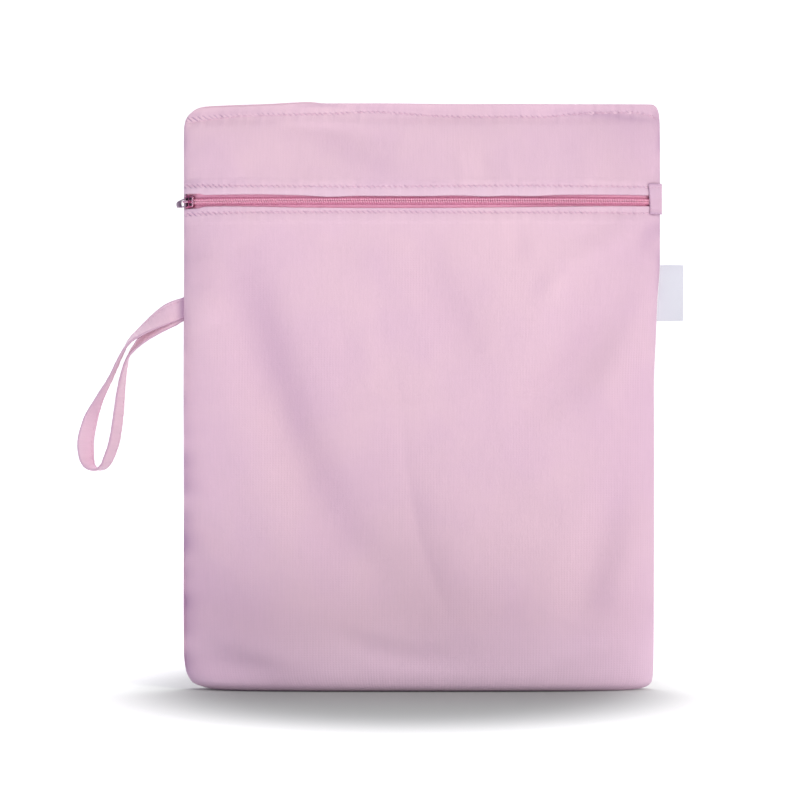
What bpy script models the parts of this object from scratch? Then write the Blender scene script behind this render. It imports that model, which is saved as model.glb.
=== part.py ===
"""Cloth diaper wet bag: a zipped cloth pouch with a wrist strap, standing on its soft bottom.

Metres, +Z up. The front faces -Y and +X is to the right as the front is seen. The origin is
on the flat patch that the bag stands on, midway between its sides. Sizes below are in
millimetres and every point is turned into metres when a mesh is made.
"""
import bisect
import math
from functools import lru_cache

import bmesh
import bpy
from mathutils import Matrix, Vector

MM = 0.001

# Cloth and seams
WALL = 1.4
HEM = 1.8
HEM_HEIGHT = 10.0
SEAM_GAP = 0.3
SEAM_LIP = 0.4

# Whole bag
HEIGHT = 400.0
BOTTOM_SEAM_SHIFT = 7.0
FLOOR_ROWS = 4
PANEL_COLUMNS = 28

# Zip, measured round its middle line
ZIP_HEIGHT = 332.2
SLOT_HALF = 3.95
SLOT_FLARE = 1.1
FLARE_START = -146.0
FLARE_LENGTH = 6.0
TAPE_ROWS = (0.0, SLOT_HALF, 7.6, 11.5)
TAPE_THICKNESS = 0.6
TAPE_INSET = HEM + 0.6
TAPE_END_GAP = 5.5
COIL_WIDTH = 1.9
COIL_THICKNESS = 1.5
CHAIN_GAP = 0.3
STRAIGHT_END = 9.6
SPREAD = 1.35
SPREAD_LENGTH = 5.5

# Slider and pull tab
SLIDER_LENGTH = 8.6
SLIDER_HALF_WIDTH = 4.5
SLIDER_PLATE = 0.9
SLIDER_CLEARANCE = 0.35
RAIL_WIDTH = 0.7
CROWN_WIDTH = 1.4
CROWN_BAR = 0.8
PIVOT_ALONG = 2.2
PULL_REACH = 11.2
PULL_THICKNESS = 0.9
PULL_EYE_HALF = 2.0
PULL_EYE_LENGTH = 5.6
PULL_HALF_NEAR = 2.9
PULL_HALF_FAR = 2.0
PULL_DIP_DEG = 10.0
PULL_SAG_DEG = 6.0
PULL_DROP = 0.5

# End tab, label and strap
TAB_LEFT = 155.3
TAB_LOW = 324.9
TAB_HIGH = 342.0
TAB_THICKNESS = 1.1
LABEL_LOW = 251.2
LABEL_HIGH = 289.4
LABEL_TIP = 179.9
LABEL_THICKNESS = 1.0
STRAP_WIDTH = 14.0
STRAP_THICKNESS = 2.0
STRAP_SECTIONS = 64
STRAP_SEWN_LENGTH = 14.0

# Level sections of the bag, from the floor to the top edge. left and right are the side
# seams' distances from the middle, front and back are how far each face bulges, and square
# and full are the two exponents of the section's rounded outline.
SECTION_COLUMNS = ("height", "left", "right", "front", "back", "square", "full")
SECTION_ROWS = (
    (0.0, 139.0, 146.0, 17.0, 17.0, 4.0, 2.2),
    (0.7, 143.5, 150.0, 19.4, 19.2, 3.8, 2.2),
    (2.0, 148.6, 154.6, 21.6, 21.2, 3.6, 2.1),
    (4.8, 155.4, 158.0, 24.0, 23.4, 3.3, 2.1),
    (13.0, 159.7, 159.2, 27.0, 26.2, 3.0, 2.0),
    (25.0, 161.2, 159.5, 28.6, 27.8, 2.8, 2.0),
    (60.0, 161.4, 159.7, 29.8, 28.8, 2.7, 1.9),
    (110.0, 161.2, 159.8, 29.8, 28.8, 2.7, 1.9),
    (170.0, 161.3, 159.8, 28.6, 27.6, 2.7, 1.9),
    (205.0, 161.4, 159.7, 27.4, 26.4, 2.7, 1.9),
    (240.0, 161.3, 161.0, 25.8, 24.9, 2.8, 1.9),
    (265.0, 161.2, 162.0, 24.4, 23.6, 2.9, 2.0),
    (290.0, 161.1, 163.7, 22.8, 22.0, 3.1, 2.0),
    (324.0, 161.1, 163.8, 20.0, 18.9, 3.6, 2.1),
    (341.0, 161.2, 163.8, 20.0, 16.6, 3.6, 2.1),
    (356.0, 161.2, 163.8, 15.4, 13.2, 4.4, 2.1),
    (372.0, 161.2, 163.8, 9.4, 8.4, 6.5, 2.0),
    (384.0, 161.1, 163.7, 4.4, 4.2, 11.0, 2.0),
    (390.5, 160.2, 163.4, 1.4, 1.4, 20.0, 2.0),
    (394.0, 158.6, 162.9, 1.0, 1.0, 28.0, 2.0),
    (397.5, 155.0, 161.6, 1.0, 1.0, 30.0, 2.0),
    (400.0, 149.0, 158.6, 1.0, 1.0, 30.0, 2.0),
)

# Heights of the rows that each cloth is lofted through
LOWER_ROWS = (0.0, 0.7, 2.0, 4.8, 9.0, 15.0, 25.0, 40.0, 58.0, 76.0, 94.0, 112.0, 130.0, 148.0,
              166.0, 184.0, 202.0, 220.0, 238.0, 256.0, 272.0, 288.0, 303.0)
HEM_ROWS = (313.0,) + tuple(ZIP_HEIGHT - offset for offset in reversed(TAPE_ROWS[1:]))
BAND_HEM_ROWS = tuple(ZIP_HEIGHT + offset for offset in TAPE_ROWS[1:]) + (349.5,)
UPPER_ROWS = (356.0, 364.0, 372.0, 379.0, 385.0, 390.5, 394.0, 397.5, 400.0)
BACK_MIDDLE_ROWS = (318.0, 332.0, 345.0)

# Top edge's height along the bag
TOP_EDGE_COLUMNS = ("across", "drop")
TOP_EDGE_ROWS = (
    (-165.0, 3.6),
    (-131.0, 2.0),
    (-106.0, 1.4),
    (-74.0, 0.0),
    (0.0, 0.2),
    (60.0, 0.6),
    (165.0, 0.6),
)
TOP_EDGE_FADE = 370.0
FLANGE_WAVES = ((1.5, 150.0, 30.0), (0.8, 83.0, 0.0))
WAVE_FADE = 362.0

# Main folds of the front. Each has its name, its start, middle and end in x and height, the
# spread of its side slopes, and its lift, which is negative in a valley.
FOLD_ROWS = (
    ("left valley", (-119.5, 300.0), (-86.0, 172.0), (-17.0, 61.0), 17.0, -3.2),
    ("left ridge", (-150.0, 250.0), (-123.0, 165.0), (-72.0, 54.0), 18.0, 2.4),
    ("right valley", (150.0, 286.0), (104.0, 216.0), (52.0, 190.0), 16.0, -2.8),
    ("right ridge", (158.0, 292.0), (134.0, 232.0), (118.0, 190.0), 15.0, 2.0),
    ("lower right valley", (138.0, 150.0), (120.0, 95.0), (104.0, 45.0), 15.0, -2.2),
    ("lower right ridge", (156.0, 130.0), (143.0, 90.0), (129.0, 50.0), 13.0, 1.8),
    ("middle swell", (-10.0, 150.0), (20.0, 95.0), (60.0, 55.0), 34.0, 1.6),
    ("band valley", (-102.0, 386.0), (-58.0, 380.0), (-10.0, 370.0), 8.0, -1.4),
)
FOLD_STEPS = 12

# Strap's middle line, from its front end in the seam round the loop to its back end. turn
# is how far its width leans: 0 and 180 face the front, 90 is edge-on with the width along Y.
STRAP_COLUMNS = ("x", "y", "z", "turn")
STRAP_ROWS = (
    (-161.7, -1.25, 260.4, 180.0),
    (-169.3, -1.4, 257.3, 168.0),
    (-179.5, -1.6, 251.5, 140.0),
    (-189.4, -1.5, 244.7, 116.0),
    (-198.3, -1.2, 237.2, 100.0),
    (-204.1, -1.0, 227.3, 90.0),
    (-210.9, -1.0, 212.7, 86.0),
    (-219.1, -1.0, 197.3, 74.0),
    (-225.4, -1.0, 182.0, 52.0),
    (-228.3, -0.5, 166.6, 44.0),
    (-227.7, 0.0, 158.4, 50.0),
    (-225.0, 0.0, 152.4, 68.0),
    (-220.4, 0.0, 150.0, 90.0),
    (-215.8, 0.5, 152.2, 104.0),
    (-212.8, 1.0, 157.4, 112.0),
    (-208.6, 1.2, 170.0, 114.0),
    (-206.1, 1.8, 187.0, 112.0),
    (-203.8, 2.0, 207.5, 103.0),
    (-199.9, 2.4, 225.5, 88.0),
    (-191.1, 2.2, 237.5, 68.0),
    (-179.5, 1.8, 247.4, 42.0),
    (-167.9, 1.4, 255.0, 13.0),
    (-161.7, 1.25, 258.3, 0.0),
)

# Finish of each piece: colour in linear light, roughness and metallic
FINISHES = {
    "bag_cloth": ((0.80, 0.56, 0.67, 1.0), 0.62, 0.0),
    "zip_tape": ((0.75, 0.28, 0.43, 1.0), 0.80, 0.0),
    "zip_coil": ((0.62, 0.20, 0.34, 1.0), 0.45, 0.0),
    "slider_metal": ((0.42, 0.10, 0.22, 1.0), 0.25, 1.0),
    "pull_metal": ((0.36, 0.24, 0.32, 1.0), 0.35, 1.0),
    "label_ribbon": ((0.84, 0.80, 0.88, 1.0), 0.70, 0.0),
}


def clear_scene():
    """Remove every object that the scene holds."""
    for old in list(bpy.data.objects):
        bpy.data.objects.remove(old, do_unlink=True)


def smooth_step(low, high, value):
    """Go from 0 at low to 1 at high with a soft start and end."""
    share = min(1.0, max(0.0, (value - low) / (high - low)))
    return share * share * (3.0 - 2.0 * share)


class Curve:
    """A smooth curve through (position, value) pairs that never overshoots them."""

    def __init__(self, places, values):
        self.places = list(places)
        self.values = list(values)
        steps = [b - a for a, b in zip(self.places, self.places[1:])]
        rises = [(b - a) / step for a, b, step in zip(self.values, self.values[1:], steps)]
        self.slopes = [rises[0]]
        for before, after in zip(rises, rises[1:]):
            same_way = before * after > 0.0
            self.slopes.append(2.0 * before * after / (before + after) if same_way else 0.0)
        self.slopes.append(rises[-1])

    def at(self, place):
        """Value of the curve at a position, held level past both ends."""
        place = min(self.places[-1], max(self.places[0], place))
        index = min(len(self.places) - 2, bisect.bisect_right(self.places, place) - 1)
        step = self.places[index + 1] - self.places[index]
        share = (place - self.places[index]) / step
        start, end = self.values[index], self.values[index + 1]
        rise_start, rise_end = self.slopes[index] * step, self.slopes[index + 1] * step
        square, cube = share ** 2, share ** 3
        return (start * (2 * cube - 3 * square + 1) + rise_start * (cube - 2 * square + share)
                + end * (3 * square - 2 * cube) + rise_end * (cube - square))


def table_curves(columns, rows):
    """One smooth curve for each column of a table after its first."""
    places = [row[0] for row in rows]
    return {name: Curve(places, [row[index] for row in rows])
            for index, name in enumerate(columns) if index > 0}


SECTIONS = table_curves(SECTION_COLUMNS, SECTION_ROWS)
TOP_EDGE = table_curves(TOP_EDGE_COLUMNS, TOP_EDGE_ROWS)


def arc_through(start, middle, end):
    """Points along a bend that starts, passes its middle and ends at three given points."""
    control = [2.0 * m - 0.5 * (a + b) for a, m, b in zip(start, middle, end)]
    points = []
    for step in range(FOLD_STEPS + 1):
        share = step / FOLD_STEPS
        points.append([a * (1 - share) ** 2 + 2 * c * share * (1 - share) + b * share ** 2
                       for a, c, b in zip(start, control, end)])
    return points


FOLD_LINES = [(arc_through(start, middle, end), spread, lift)
              for name, start, middle, end, spread, lift in FOLD_ROWS]


def nearest_on_line(points, across, height):
    """Distance to a line of points, and how far along it the nearest place is."""
    best = (1e9, 0.0)
    for index, ((ax, az), (bx, bz)) in enumerate(zip(points, points[1:])):
        length = (bx - ax) ** 2 + (bz - az) ** 2
        share = min(1.0, max(0.0, ((across - ax) * (bx - ax) + (height - az) * (bz - az)) / length))
        distance = math.hypot(across - ax - share * (bx - ax), height - az - share * (bz - az))
        if distance < best[0]:
            best = (distance, (index + share) / (len(points) - 1))
    return best


def front_relief(across, height):
    """Lift of the front cloth by its folds, none at the floor and round the zip."""
    total = 0.0
    for points, spread, lift in FOLD_LINES:
        distance, along = nearest_on_line(points, across, height)
        taper = math.sin(math.pi * min(0.97, max(0.03, along))) ** 0.6
        total += lift * taper * math.exp(-(distance / spread) ** 2)
    away_from_zip = smooth_step(8.0, 34.0, abs(height - ZIP_HEIGHT))
    above_floor = smooth_step(6.0, 40.0, height)
    under_flange = 1.0 - smooth_step(382.0, 391.0, height)
    return total * away_from_zip * above_floor * under_flange


def bulge(height, across_share):
    """Share of the section's depth that the cloth reaches at a share of its half width."""
    square = SECTIONS["square"].at(height)
    full = SECTIONS["full"].at(height)
    return max(0.0, 1.0 - abs(across_share) ** square) ** (1.0 / full)


def half_width(height, across_share):
    """Side seam's distance from the middle on the side that the share lies on."""
    return SECTIONS["left" if across_share < 0.0 else "right"].at(height)


def flange_wave(across, height):
    """Sideways wave of the flat top edge."""
    wave = sum(size * math.sin(2.0 * math.pi * (across + shift) / length)
               for size, length, shift in FLANGE_WAVES)
    return wave * smooth_step(WAVE_FADE, 396.0, height)


def cloth_point(side, height, across_share, inset, rise=0.0):
    """Point of the bag's cloth.

    side is -1 on the front and 1 on the back, and inset is how far inside the outer face.
    """
    across = (half_width(height, across_share) - inset) * across_share
    hidden = min(1.0, inset / WALL)
    swell = SECTIONS["front" if side < 0 else "back"].at(height) - inset + SEAM_LIP * hidden
    round_share = bulge(height, across_share)
    depth = SEAM_GAP / 2 + SEAM_LIP * (1.0 - hidden) + max(0.0, swell) * round_share
    if side < 0:
        depth += front_relief(across, height) * round_share ** 0.5
    top_share = smooth_step(TOP_EDGE_FADE, HEIGHT, height)
    level = height + rise - TOP_EDGE["drop"].at(across) * top_share
    return Vector((across, side * depth + flange_wave(across, height), level))


def column_shares(count):
    """Shares of the half width from -1 to 1, closer together near the side seams."""
    shares = []
    for index in range(count + 1):
        even = 2.0 * index / count - 1.0
        shares.append(0.22 * even + 0.78 * math.sin(math.pi / 2 * even))
    return shares


def slot_flare(across):
    """How much further the slot's edge stands back beside the slider."""
    return SLOT_FLARE * smooth_step(FLARE_START, FLARE_START - FLARE_LENGTH, across)


def bottom_seam(across_share):
    """Distance of the bottom seam behind the middle plane."""
    return BOTTOM_SEAM_SHIFT * (1.0 - across_share ** 2) ** 2


def make_object(name, mesh, finish):
    """Turn a bmesh in millimetres into a named object with its finish."""
    bmesh.ops.recalc_face_normals(mesh, faces=mesh.faces)
    bmesh.ops.scale(mesh, vec=(MM, MM, MM), verts=mesh.verts)
    data = bpy.data.meshes.new(name)
    mesh.to_mesh(data)
    mesh.free()
    data.shade_smooth()
    data.set_sharp_from_angle(angle=math.radians(35.0))
    data.materials.append(finish)
    piece = bpy.data.objects.new(name, data)
    bpy.context.collection.objects.link(piece)
    return piece


def make_finish(name):
    """A Principled material from the table of finishes."""
    colour, roughness, metallic = FINISHES[name]
    finish = bpy.data.materials.new(name)
    finish.use_nodes = True
    shader = finish.node_tree.nodes["Principled BSDF"]
    shader.inputs["Base Color"].default_value = colour
    shader.inputs["Roughness"].default_value = roughness
    shader.inputs["Metallic"].default_value = metallic
    return finish


def closed_sheet(name, outer, inner, finish):
    """A solid sheet between two grids of points with the same rows and columns."""
    mesh = bmesh.new()
    grids = [[[mesh.verts.new(point) for point in row] for row in grid] for grid in (outer, inner)]
    rows, columns = len(outer), len(outer[0])
    for row in range(rows - 1):
        for column in range(columns - 1):
            for grid in grids:
                mesh.faces.new((grid[row][column], grid[row][column + 1],
                                grid[row + 1][column + 1], grid[row + 1][column]))
    rim = [(0, column) for column in range(columns)]
    rim += [(row, columns - 1) for row in range(1, rows)]
    rim += [(rows - 1, column) for column in range(columns - 2, -1, -1)]
    rim += [(row, 0) for row in range(rows - 2, 0, -1)]
    for (row, column), (next_row, next_column) in zip(rim, rim[1:] + rim[:1]):
        mesh.faces.new((grids[0][row][column], grids[0][next_row][next_column],
                        grids[1][next_row][next_column], grids[1][row][column]))
    return make_object(name, mesh, finish)


def inner_rise(height):
    """How much higher the inner face of a row sits, as the cloth turns under at the floor."""
    turned = max(0.0, 1.0 - height / 13.0)
    return WALL * turned ** 2


def wall_rows(side, heights, shares, insets):
    """Outer and inner rows of a cloth that goes through the given heights."""
    outer, inner = [], []
    for height, inset in zip(heights, insets):
        outer.append([cloth_point(side, height, share, 0.0) for share in shares])
        inner.append([cloth_point(side, height, share, inset, inner_rise(height))
                      for share in shares])
    return outer, inner


def floor_rows(side, shares):
    """Outer and inner rows of the flat patch, from the bottom seam out to the wall's edge."""
    outer, inner = [], []
    for row in range(FLOOR_ROWS):
        share_out = row / FLOOR_ROWS
        for rows, inset, rise in ((outer, 0.0, 0.0), (inner, WALL, WALL)):
            points = []
            for share in shares:
                edge = cloth_point(side, 0.0, share, inset, rise)
                seam = bottom_seam(share) + side * SEAM_GAP / 2
                points.append(Vector((edge.x, seam + (edge.y - seam) * share_out, edge.z)))
            rows.append(points)
    return outer, inner


def hem_inset(height, edge):
    """Thickness of the cloth at a height: doubled near the zip's slot."""
    return HEM if abs(height - edge) < HEM_HEIGHT else WALL


def move_row(row, shift):
    """Move a row's points up or down by a length that depends on where they are."""
    for point in row:
        point.z += shift(point.x)


def front_panel(finish):
    """Lower front cloth, with the front part of the flat patch."""
    shares = column_shares(PANEL_COLUMNS)
    heights = LOWER_ROWS + HEM_ROWS
    insets = [hem_inset(height, HEM_ROWS[-1]) for height in heights]
    outer, inner = wall_rows(-1, heights, shares, insets)
    floor_outer, floor_inner = floor_rows(-1, shares)
    for grid in (outer, inner):
        move_row(grid[-1], lambda across: -slot_flare(across))
    return closed_sheet("front_panel", floor_outer + outer, floor_inner + inner, finish)


def front_band(finish):
    """Upper front cloth, from the hem over the zip to the top edge."""
    shares = column_shares(PANEL_COLUMNS)
    heights = BAND_HEM_ROWS + UPPER_ROWS
    insets = [hem_inset(height, BAND_HEM_ROWS[0]) for height in heights]
    outer, inner = wall_rows(-1, heights, shares, insets)
    for grid in (outer, inner):
        move_row(grid[0], slot_flare)
    return closed_sheet("front_band", outer, inner, finish)


def back_panel(finish):
    """Back cloth, one piece from the bottom seam to the top edge."""
    shares = column_shares(PANEL_COLUMNS - 4)
    lower = [height for index, height in enumerate(LOWER_ROWS) if index < 7 or index % 2 == 0]
    heights = tuple(lower) + BACK_MIDDLE_ROWS + UPPER_ROWS
    outer, inner = wall_rows(1, heights, shares, [WALL] * len(heights))
    floor_outer, floor_inner = floor_rows(1, shares)
    return closed_sheet("back_panel", floor_outer + outer, floor_inner + inner, finish)


@lru_cache(maxsize=None)
def zip_line(height):
    """Line of the tapes' outer face at a height, seen from above, with its length so far."""
    steps = 400
    points = []
    square, full = SECTIONS["square"].at(height), SECTIONS["full"].at(height)
    swell = SECTIONS["front"].at(height) - TAPE_INSET + SEAM_LIP
    for index in range(steps + 1):
        angle = 0.03 + (math.pi - 0.06) * index / steps
        share = -math.copysign(abs(math.cos(angle)) ** (2.0 / square), math.cos(angle))
        across = (half_width(height, share) - TAPE_INSET) * share
        depth = SEAM_GAP / 2 + swell * math.sin(angle) ** (2.0 / full)
        points.append(Vector((across, -depth)))
    lengths = [0.0]
    for before, after in zip(points, points[1:]):
        lengths.append(lengths[-1] + (after - before).length)
    return points, lengths


def on_line(height, along):
    """Point of the tapes' line, straight through the slider and curved past it."""
    points, lengths = zip_line(height)
    if along < STRAIGHT_END:
        return points[0].lerp(on_line(height, STRAIGHT_END), along / STRAIGHT_END)
    index = min(len(points) - 2, bisect.bisect_right(lengths, along) - 1)
    share = (along - lengths[index]) / (lengths[index + 1] - lengths[index])
    return points[index].lerp(points[index + 1], share)


def zip_point(height, along, out):
    """Point of the zip at a height, a length along it, and a distance out from the tapes."""
    reach = 1.5
    length = zip_line(height)[1][-1]
    along = min(along, length)
    before = on_line(height, max(0.0, along - reach))
    after = on_line(height, min(length, along + reach))
    way = (after - before).normalized()
    place = on_line(height, along)
    return Vector((place.x + way.y * out, place.y - way.x * out, height))


def zip_stations():
    """Lengths along the zip at which its tapes and coils have a section."""
    length = zip_line(ZIP_HEIGHT)[1][-1] - TAPE_END_GAP
    near = [0.0, 2.0, 4.0, 6.0, 8.0, STRAIGHT_END, 11.5, 14.0, 18.0, 24.0, 32.0, 42.0]
    far = [length - place for place in (42.0, 32.0, 23.0, 16.0, 10.0, 5.0, 0.0)]
    count = 15
    first, last = near[-1], far[0]
    middle = [first + (last - first) * step / count for step in range(1, count)]
    return near + middle + far


def chain_spread(along):
    """How far each half of the zip stands off the middle line beside the slider's wedge."""
    return CHAIN_GAP / 2 + SPREAD * (1.0 - smooth_step(0.0, SPREAD_LENGTH, along - 1.0))


def zip_tape(name, way, finish):
    """One tape, above the zip's middle line when way is 1 and below it when way is -1."""
    outer, inner = [], []
    for offset in TAPE_ROWS:
        for grid, out in ((outer, 0.0), (inner, -TAPE_THICKNESS)):
            row = []
            for along in zip_stations():
                spread = chain_spread(along) * (1.0 - offset / TAPE_ROWS[-1])
                height = ZIP_HEIGHT + way * (offset + spread)
                row.append(zip_point(round(height, 3), along, out))
            grid.append(row)
    return closed_sheet(name, outer, inner, finish)


def zip_coil(name, way, finish):
    """One half of the closed coil, a rounded bar on its tape's outer face."""
    outer, inner = [], []
    base = CHAIN_GAP
    crest = base + COIL_THICKNESS
    for offset, out in ((0.0, crest - 0.35), (COIL_WIDTH / 2, crest), (COIL_WIDTH, crest - 0.45)):
        outer_row, inner_row = [], []
        for along in zip_stations():
            place = max(0.5, along)
            height = round(ZIP_HEIGHT + way * (chain_spread(place) + offset), 3)
            outer_row.append(zip_point(height, place, out))
            inner_row.append(zip_point(height, place, base))
        outer.append(outer_row)
        inner.append(inner_row)
    return closed_sheet(name, outer, inner, finish)


def slider_frame():
    """Place of the slider: X towards its mouth, Y out of the bag, Z up, on the tapes' face."""
    start = on_line(ZIP_HEIGHT, 0.0)
    end = on_line(ZIP_HEIGHT, STRAIGHT_END)
    centre = start.lerp(end, 0.5)
    mouth = (start - end).normalized()
    outward = Vector((-mouth.y, mouth.x))
    frame = Matrix.Identity(4)
    frame.col[0] = (mouth.x, mouth.y, 0.0, 0.0)
    frame.col[1] = (outward.x, outward.y, 0.0, 0.0)
    frame.col[3] = (centre.x, centre.y, ZIP_HEIGHT, 1.0)
    return frame


def extrude_outline(mesh, outline, low, high, place):
    """Add a prism to a bmesh.

    place turns an outline point and a level into the point's coordinates.
    """
    bottom = [mesh.verts.new(place(point, low)) for point in outline]
    top = [mesh.verts.new(place(point, high)) for point in outline]
    mesh.faces.new(bottom)
    mesh.faces.new(top)
    for index in range(len(outline)):
        after = (index + 1) % len(outline)
        mesh.faces.new((bottom[index], bottom[after], top[after], top[index]))


def plate_place(point, level):
    """Outline in the slider's length and width, level along its thickness."""
    return Vector((point[0], level, point[1]))


def side_place(point, level):
    """Outline in the slider's length and thickness, level along its width."""
    return Vector((point[0], point[1], level))


def prism_object(name, outline, low, high, place, finish):
    """An object that is one prism, used as a slider's part before they are joined."""
    mesh = bmesh.new()
    extrude_outline(mesh, outline, low, high, place)
    return make_object(name, mesh, finish)


def slider_levels():
    """Thickness levels of the slider, from its lower plate to the top of its crown."""
    coil_crest = CHAIN_GAP + COIL_THICKNESS
    under_top = coil_crest + 0.3
    top = under_top + SLIDER_PLATE
    over_bottom = -TAPE_THICKNESS - SLIDER_CLEARANCE
    pivot = top + 1.0
    under_crown = pivot + 1.0
    return {"bottom": over_bottom - SLIDER_PLATE, "over_bottom": over_bottom,
            "rail": SLIDER_CLEARANCE, "under_top": under_top, "top": top, "pivot": pivot,
            "under_crown": under_crown, "crown": under_crown + CROWN_BAR}


def slider_plate_outline():
    """Rounded shield of both plates, narrower at the chain's end, wider at the mouth."""
    half = SLIDER_LENGTH / 2
    wide = SLIDER_HALF_WIDTH
    upper = [(-half, 2.9), (-half + 0.9, 3.7), (-1.0, 4.0), (1.4, wide), (3.0, wide), (half - 0.3, 3.2),
             (half, 1.6)]
    return upper + [(along, -width) for along, width in reversed(upper)]


def rail_outline(way):
    """Outline of one side rail, just inside the plate's edge."""
    edge = [(-SLIDER_LENGTH / 2 + 0.9, 3.7), (-1.0, 4.0), (1.4, 4.5), (3.0, 4.5)]
    inside = [(along, width - RAIL_WIDTH) for along, width in reversed(edge)]
    return [(along, way * width) for along, width in edge + inside]


def zip_slider(finish):
    """Slider: two plates, the wedge that joins them, side rails and the crown."""
    level = slider_levels()
    plate = slider_plate_outline()
    wedge = [(0.3, 0.0), (1.6, 0.45), (3.2, 0.8), (4.0, 0.5), (4.0, -0.5), (3.2, -0.8), (1.6, -0.45)]
    half = CROWN_WIDTH / 2
    crown = [(-2.3, level["top"] - 0.3), (-2.1, level["under_crown"] - 0.6), (-1.4, level["crown"]),
             (3.2, level["crown"]), (4.0, level["under_crown"] - 0.4), (4.1, level["top"] - 0.3),
             (3.25, level["top"] - 0.3), (3.2, level["under_crown"]), (-0.9, level["under_crown"]),
             (-1.4, level["top"] - 0.3)]
    parts = [
        prism_object("zip_slider", plate, level["under_top"], level["top"], plate_place, finish),
        prism_object("lower_plate", plate, level["bottom"], level["over_bottom"], plate_place, finish),
        prism_object("wedge", wedge, level["over_bottom"] - 0.3, level["under_top"] + 0.3,
                     plate_place, finish),
        prism_object("crown", crown, -half, half, side_place, finish),
        prism_object("upper_rail", rail_outline(1), level["rail"], level["under_top"] + 0.3,
                     plate_place, finish),
        prism_object("lower_rail", rail_outline(-1), level["rail"], level["under_top"] + 0.3,
                     plate_place, finish),
    ]
    slider = parts[0]
    for part in parts[1:]:
        join = slider.modifiers.new(part.name, "BOOLEAN")
        join.operation = "UNION"
        join.solver = "EXACT"
        join.object = part
        part.hide_render = True
        part.display_type = "WIRE"
    return slider, parts


def zip_pull(finish):
    """Pull tab with an eye round the crown's foot, swung back past the slider's mouth."""
    half = PULL_THICKNESS / 2
    rim = [(-0.45, 2.2), (0.4, PULL_HALF_NEAR), (3.0, PULL_HALF_NEAR), (PULL_EYE_LENGTH, 2.75),
           (PULL_REACH - 1.0, PULL_HALF_FAR + 0.1), (PULL_REACH, PULL_HALF_FAR - 0.9)]
    eye = [(half, 1.6), (half + 0.15, PULL_EYE_HALF), (3.0, PULL_EYE_HALF),
           (PULL_EYE_LENGTH - 1.0, 1.95), (PULL_EYE_LENGTH - 0.2, 1.3), (PULL_EYE_LENGTH, 0.5)]
    mesh = bmesh.new()
    rings = []
    for outline in (rim, eye):
        loop = outline + [(along, -width) for along, width in reversed(outline)]
        for level in (-half, half):
            rings.append([mesh.verts.new(plate_place(point, level)) for point in loop])
    rim_low, rim_high, eye_low, eye_high = rings
    for first, second in ((rim_low, rim_high), (eye_high, eye_low), (rim_high, eye_high),
                          (eye_low, rim_low)):
        for index in range(len(first)):
            after = (index + 1) % len(first)
            mesh.faces.new((first[index], first[after], second[after], second[index]))
    sag = Matrix.Rotation(math.radians(PULL_SAG_DEG), 4, "Y")
    dip = Matrix.Rotation(math.radians(-PULL_DIP_DEG), 4, "Z")
    hinge = Matrix.Translation((PIVOT_ALONG, slider_levels()["pivot"], -PULL_DROP))
    return make_object("zip_pull", mesh, finish), hinge @ dip @ sag


def in_metres(frame):
    """A placing matrix whose shift is in metres instead of millimetres."""
    placed = frame.copy()
    placed.translation = frame.translation * MM
    return placed


def zip_end_tab(finish):
    """Small cloth tab over the zip's right end, turned into the side seam."""
    outer, inner = [], []
    for row in range(5):
        height = TAB_LOW + (TAB_HIGH - TAB_LOW) * row / 4
        half = half_width(height, 1.0)
        first = TAB_LEFT / half
        outer_row, inner_row = [], []
        for column in range(9):
            share = first + (0.9995 - first) * math.sin(math.pi / 2 * column / 8)
            outer_row.append(cloth_point(-1, height, share, -SEAM_GAP - TAB_THICKNESS))
            inner_row.append(cloth_point(-1, height, share, -SEAM_GAP))
        outer.append(outer_row)
        inner.append(inner_row)
    return closed_sheet("zip_end_tab", outer, inner, finish)


def side_label(finish):
    """Folded ribbon label that stands out of the right side seam, bare on both faces."""
    outer, inner = [], []
    for row in range(5):
        height = LABEL_LOW + (LABEL_HIGH - LABEL_LOW) * row / 4
        root = half_width(height, 1.0) + SEAM_GAP
        outer_row, inner_row = [], []
        for column in range(6):
            share = column / 5
            across = root + (LABEL_TIP - root) * share
            bend = 1.6 * share ** 2 * math.sin(math.pi * row / 4)
            half = LABEL_THICKNESS / 2 * (1.0 - 0.35 * share ** 6)
            outer_row.append(Vector((across, bend - half, height)))
            inner_row.append(Vector((across, bend + half, height)))
        outer.append(outer_row)
        inner.append(inner_row)
    return closed_sheet("side_label", outer, inner, finish)


def strap_curves():
    """Smooth curves of the strap's place and turn against the length along its points."""
    lengths = [0.0]
    for before, after in zip(STRAP_ROWS, STRAP_ROWS[1:]):
        lengths.append(lengths[-1] + math.dist(before[:3], after[:3]))
    return lengths, [Curve(lengths, [row[column] for row in STRAP_ROWS])
                     for column in range(len(STRAP_COLUMNS))]


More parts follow.
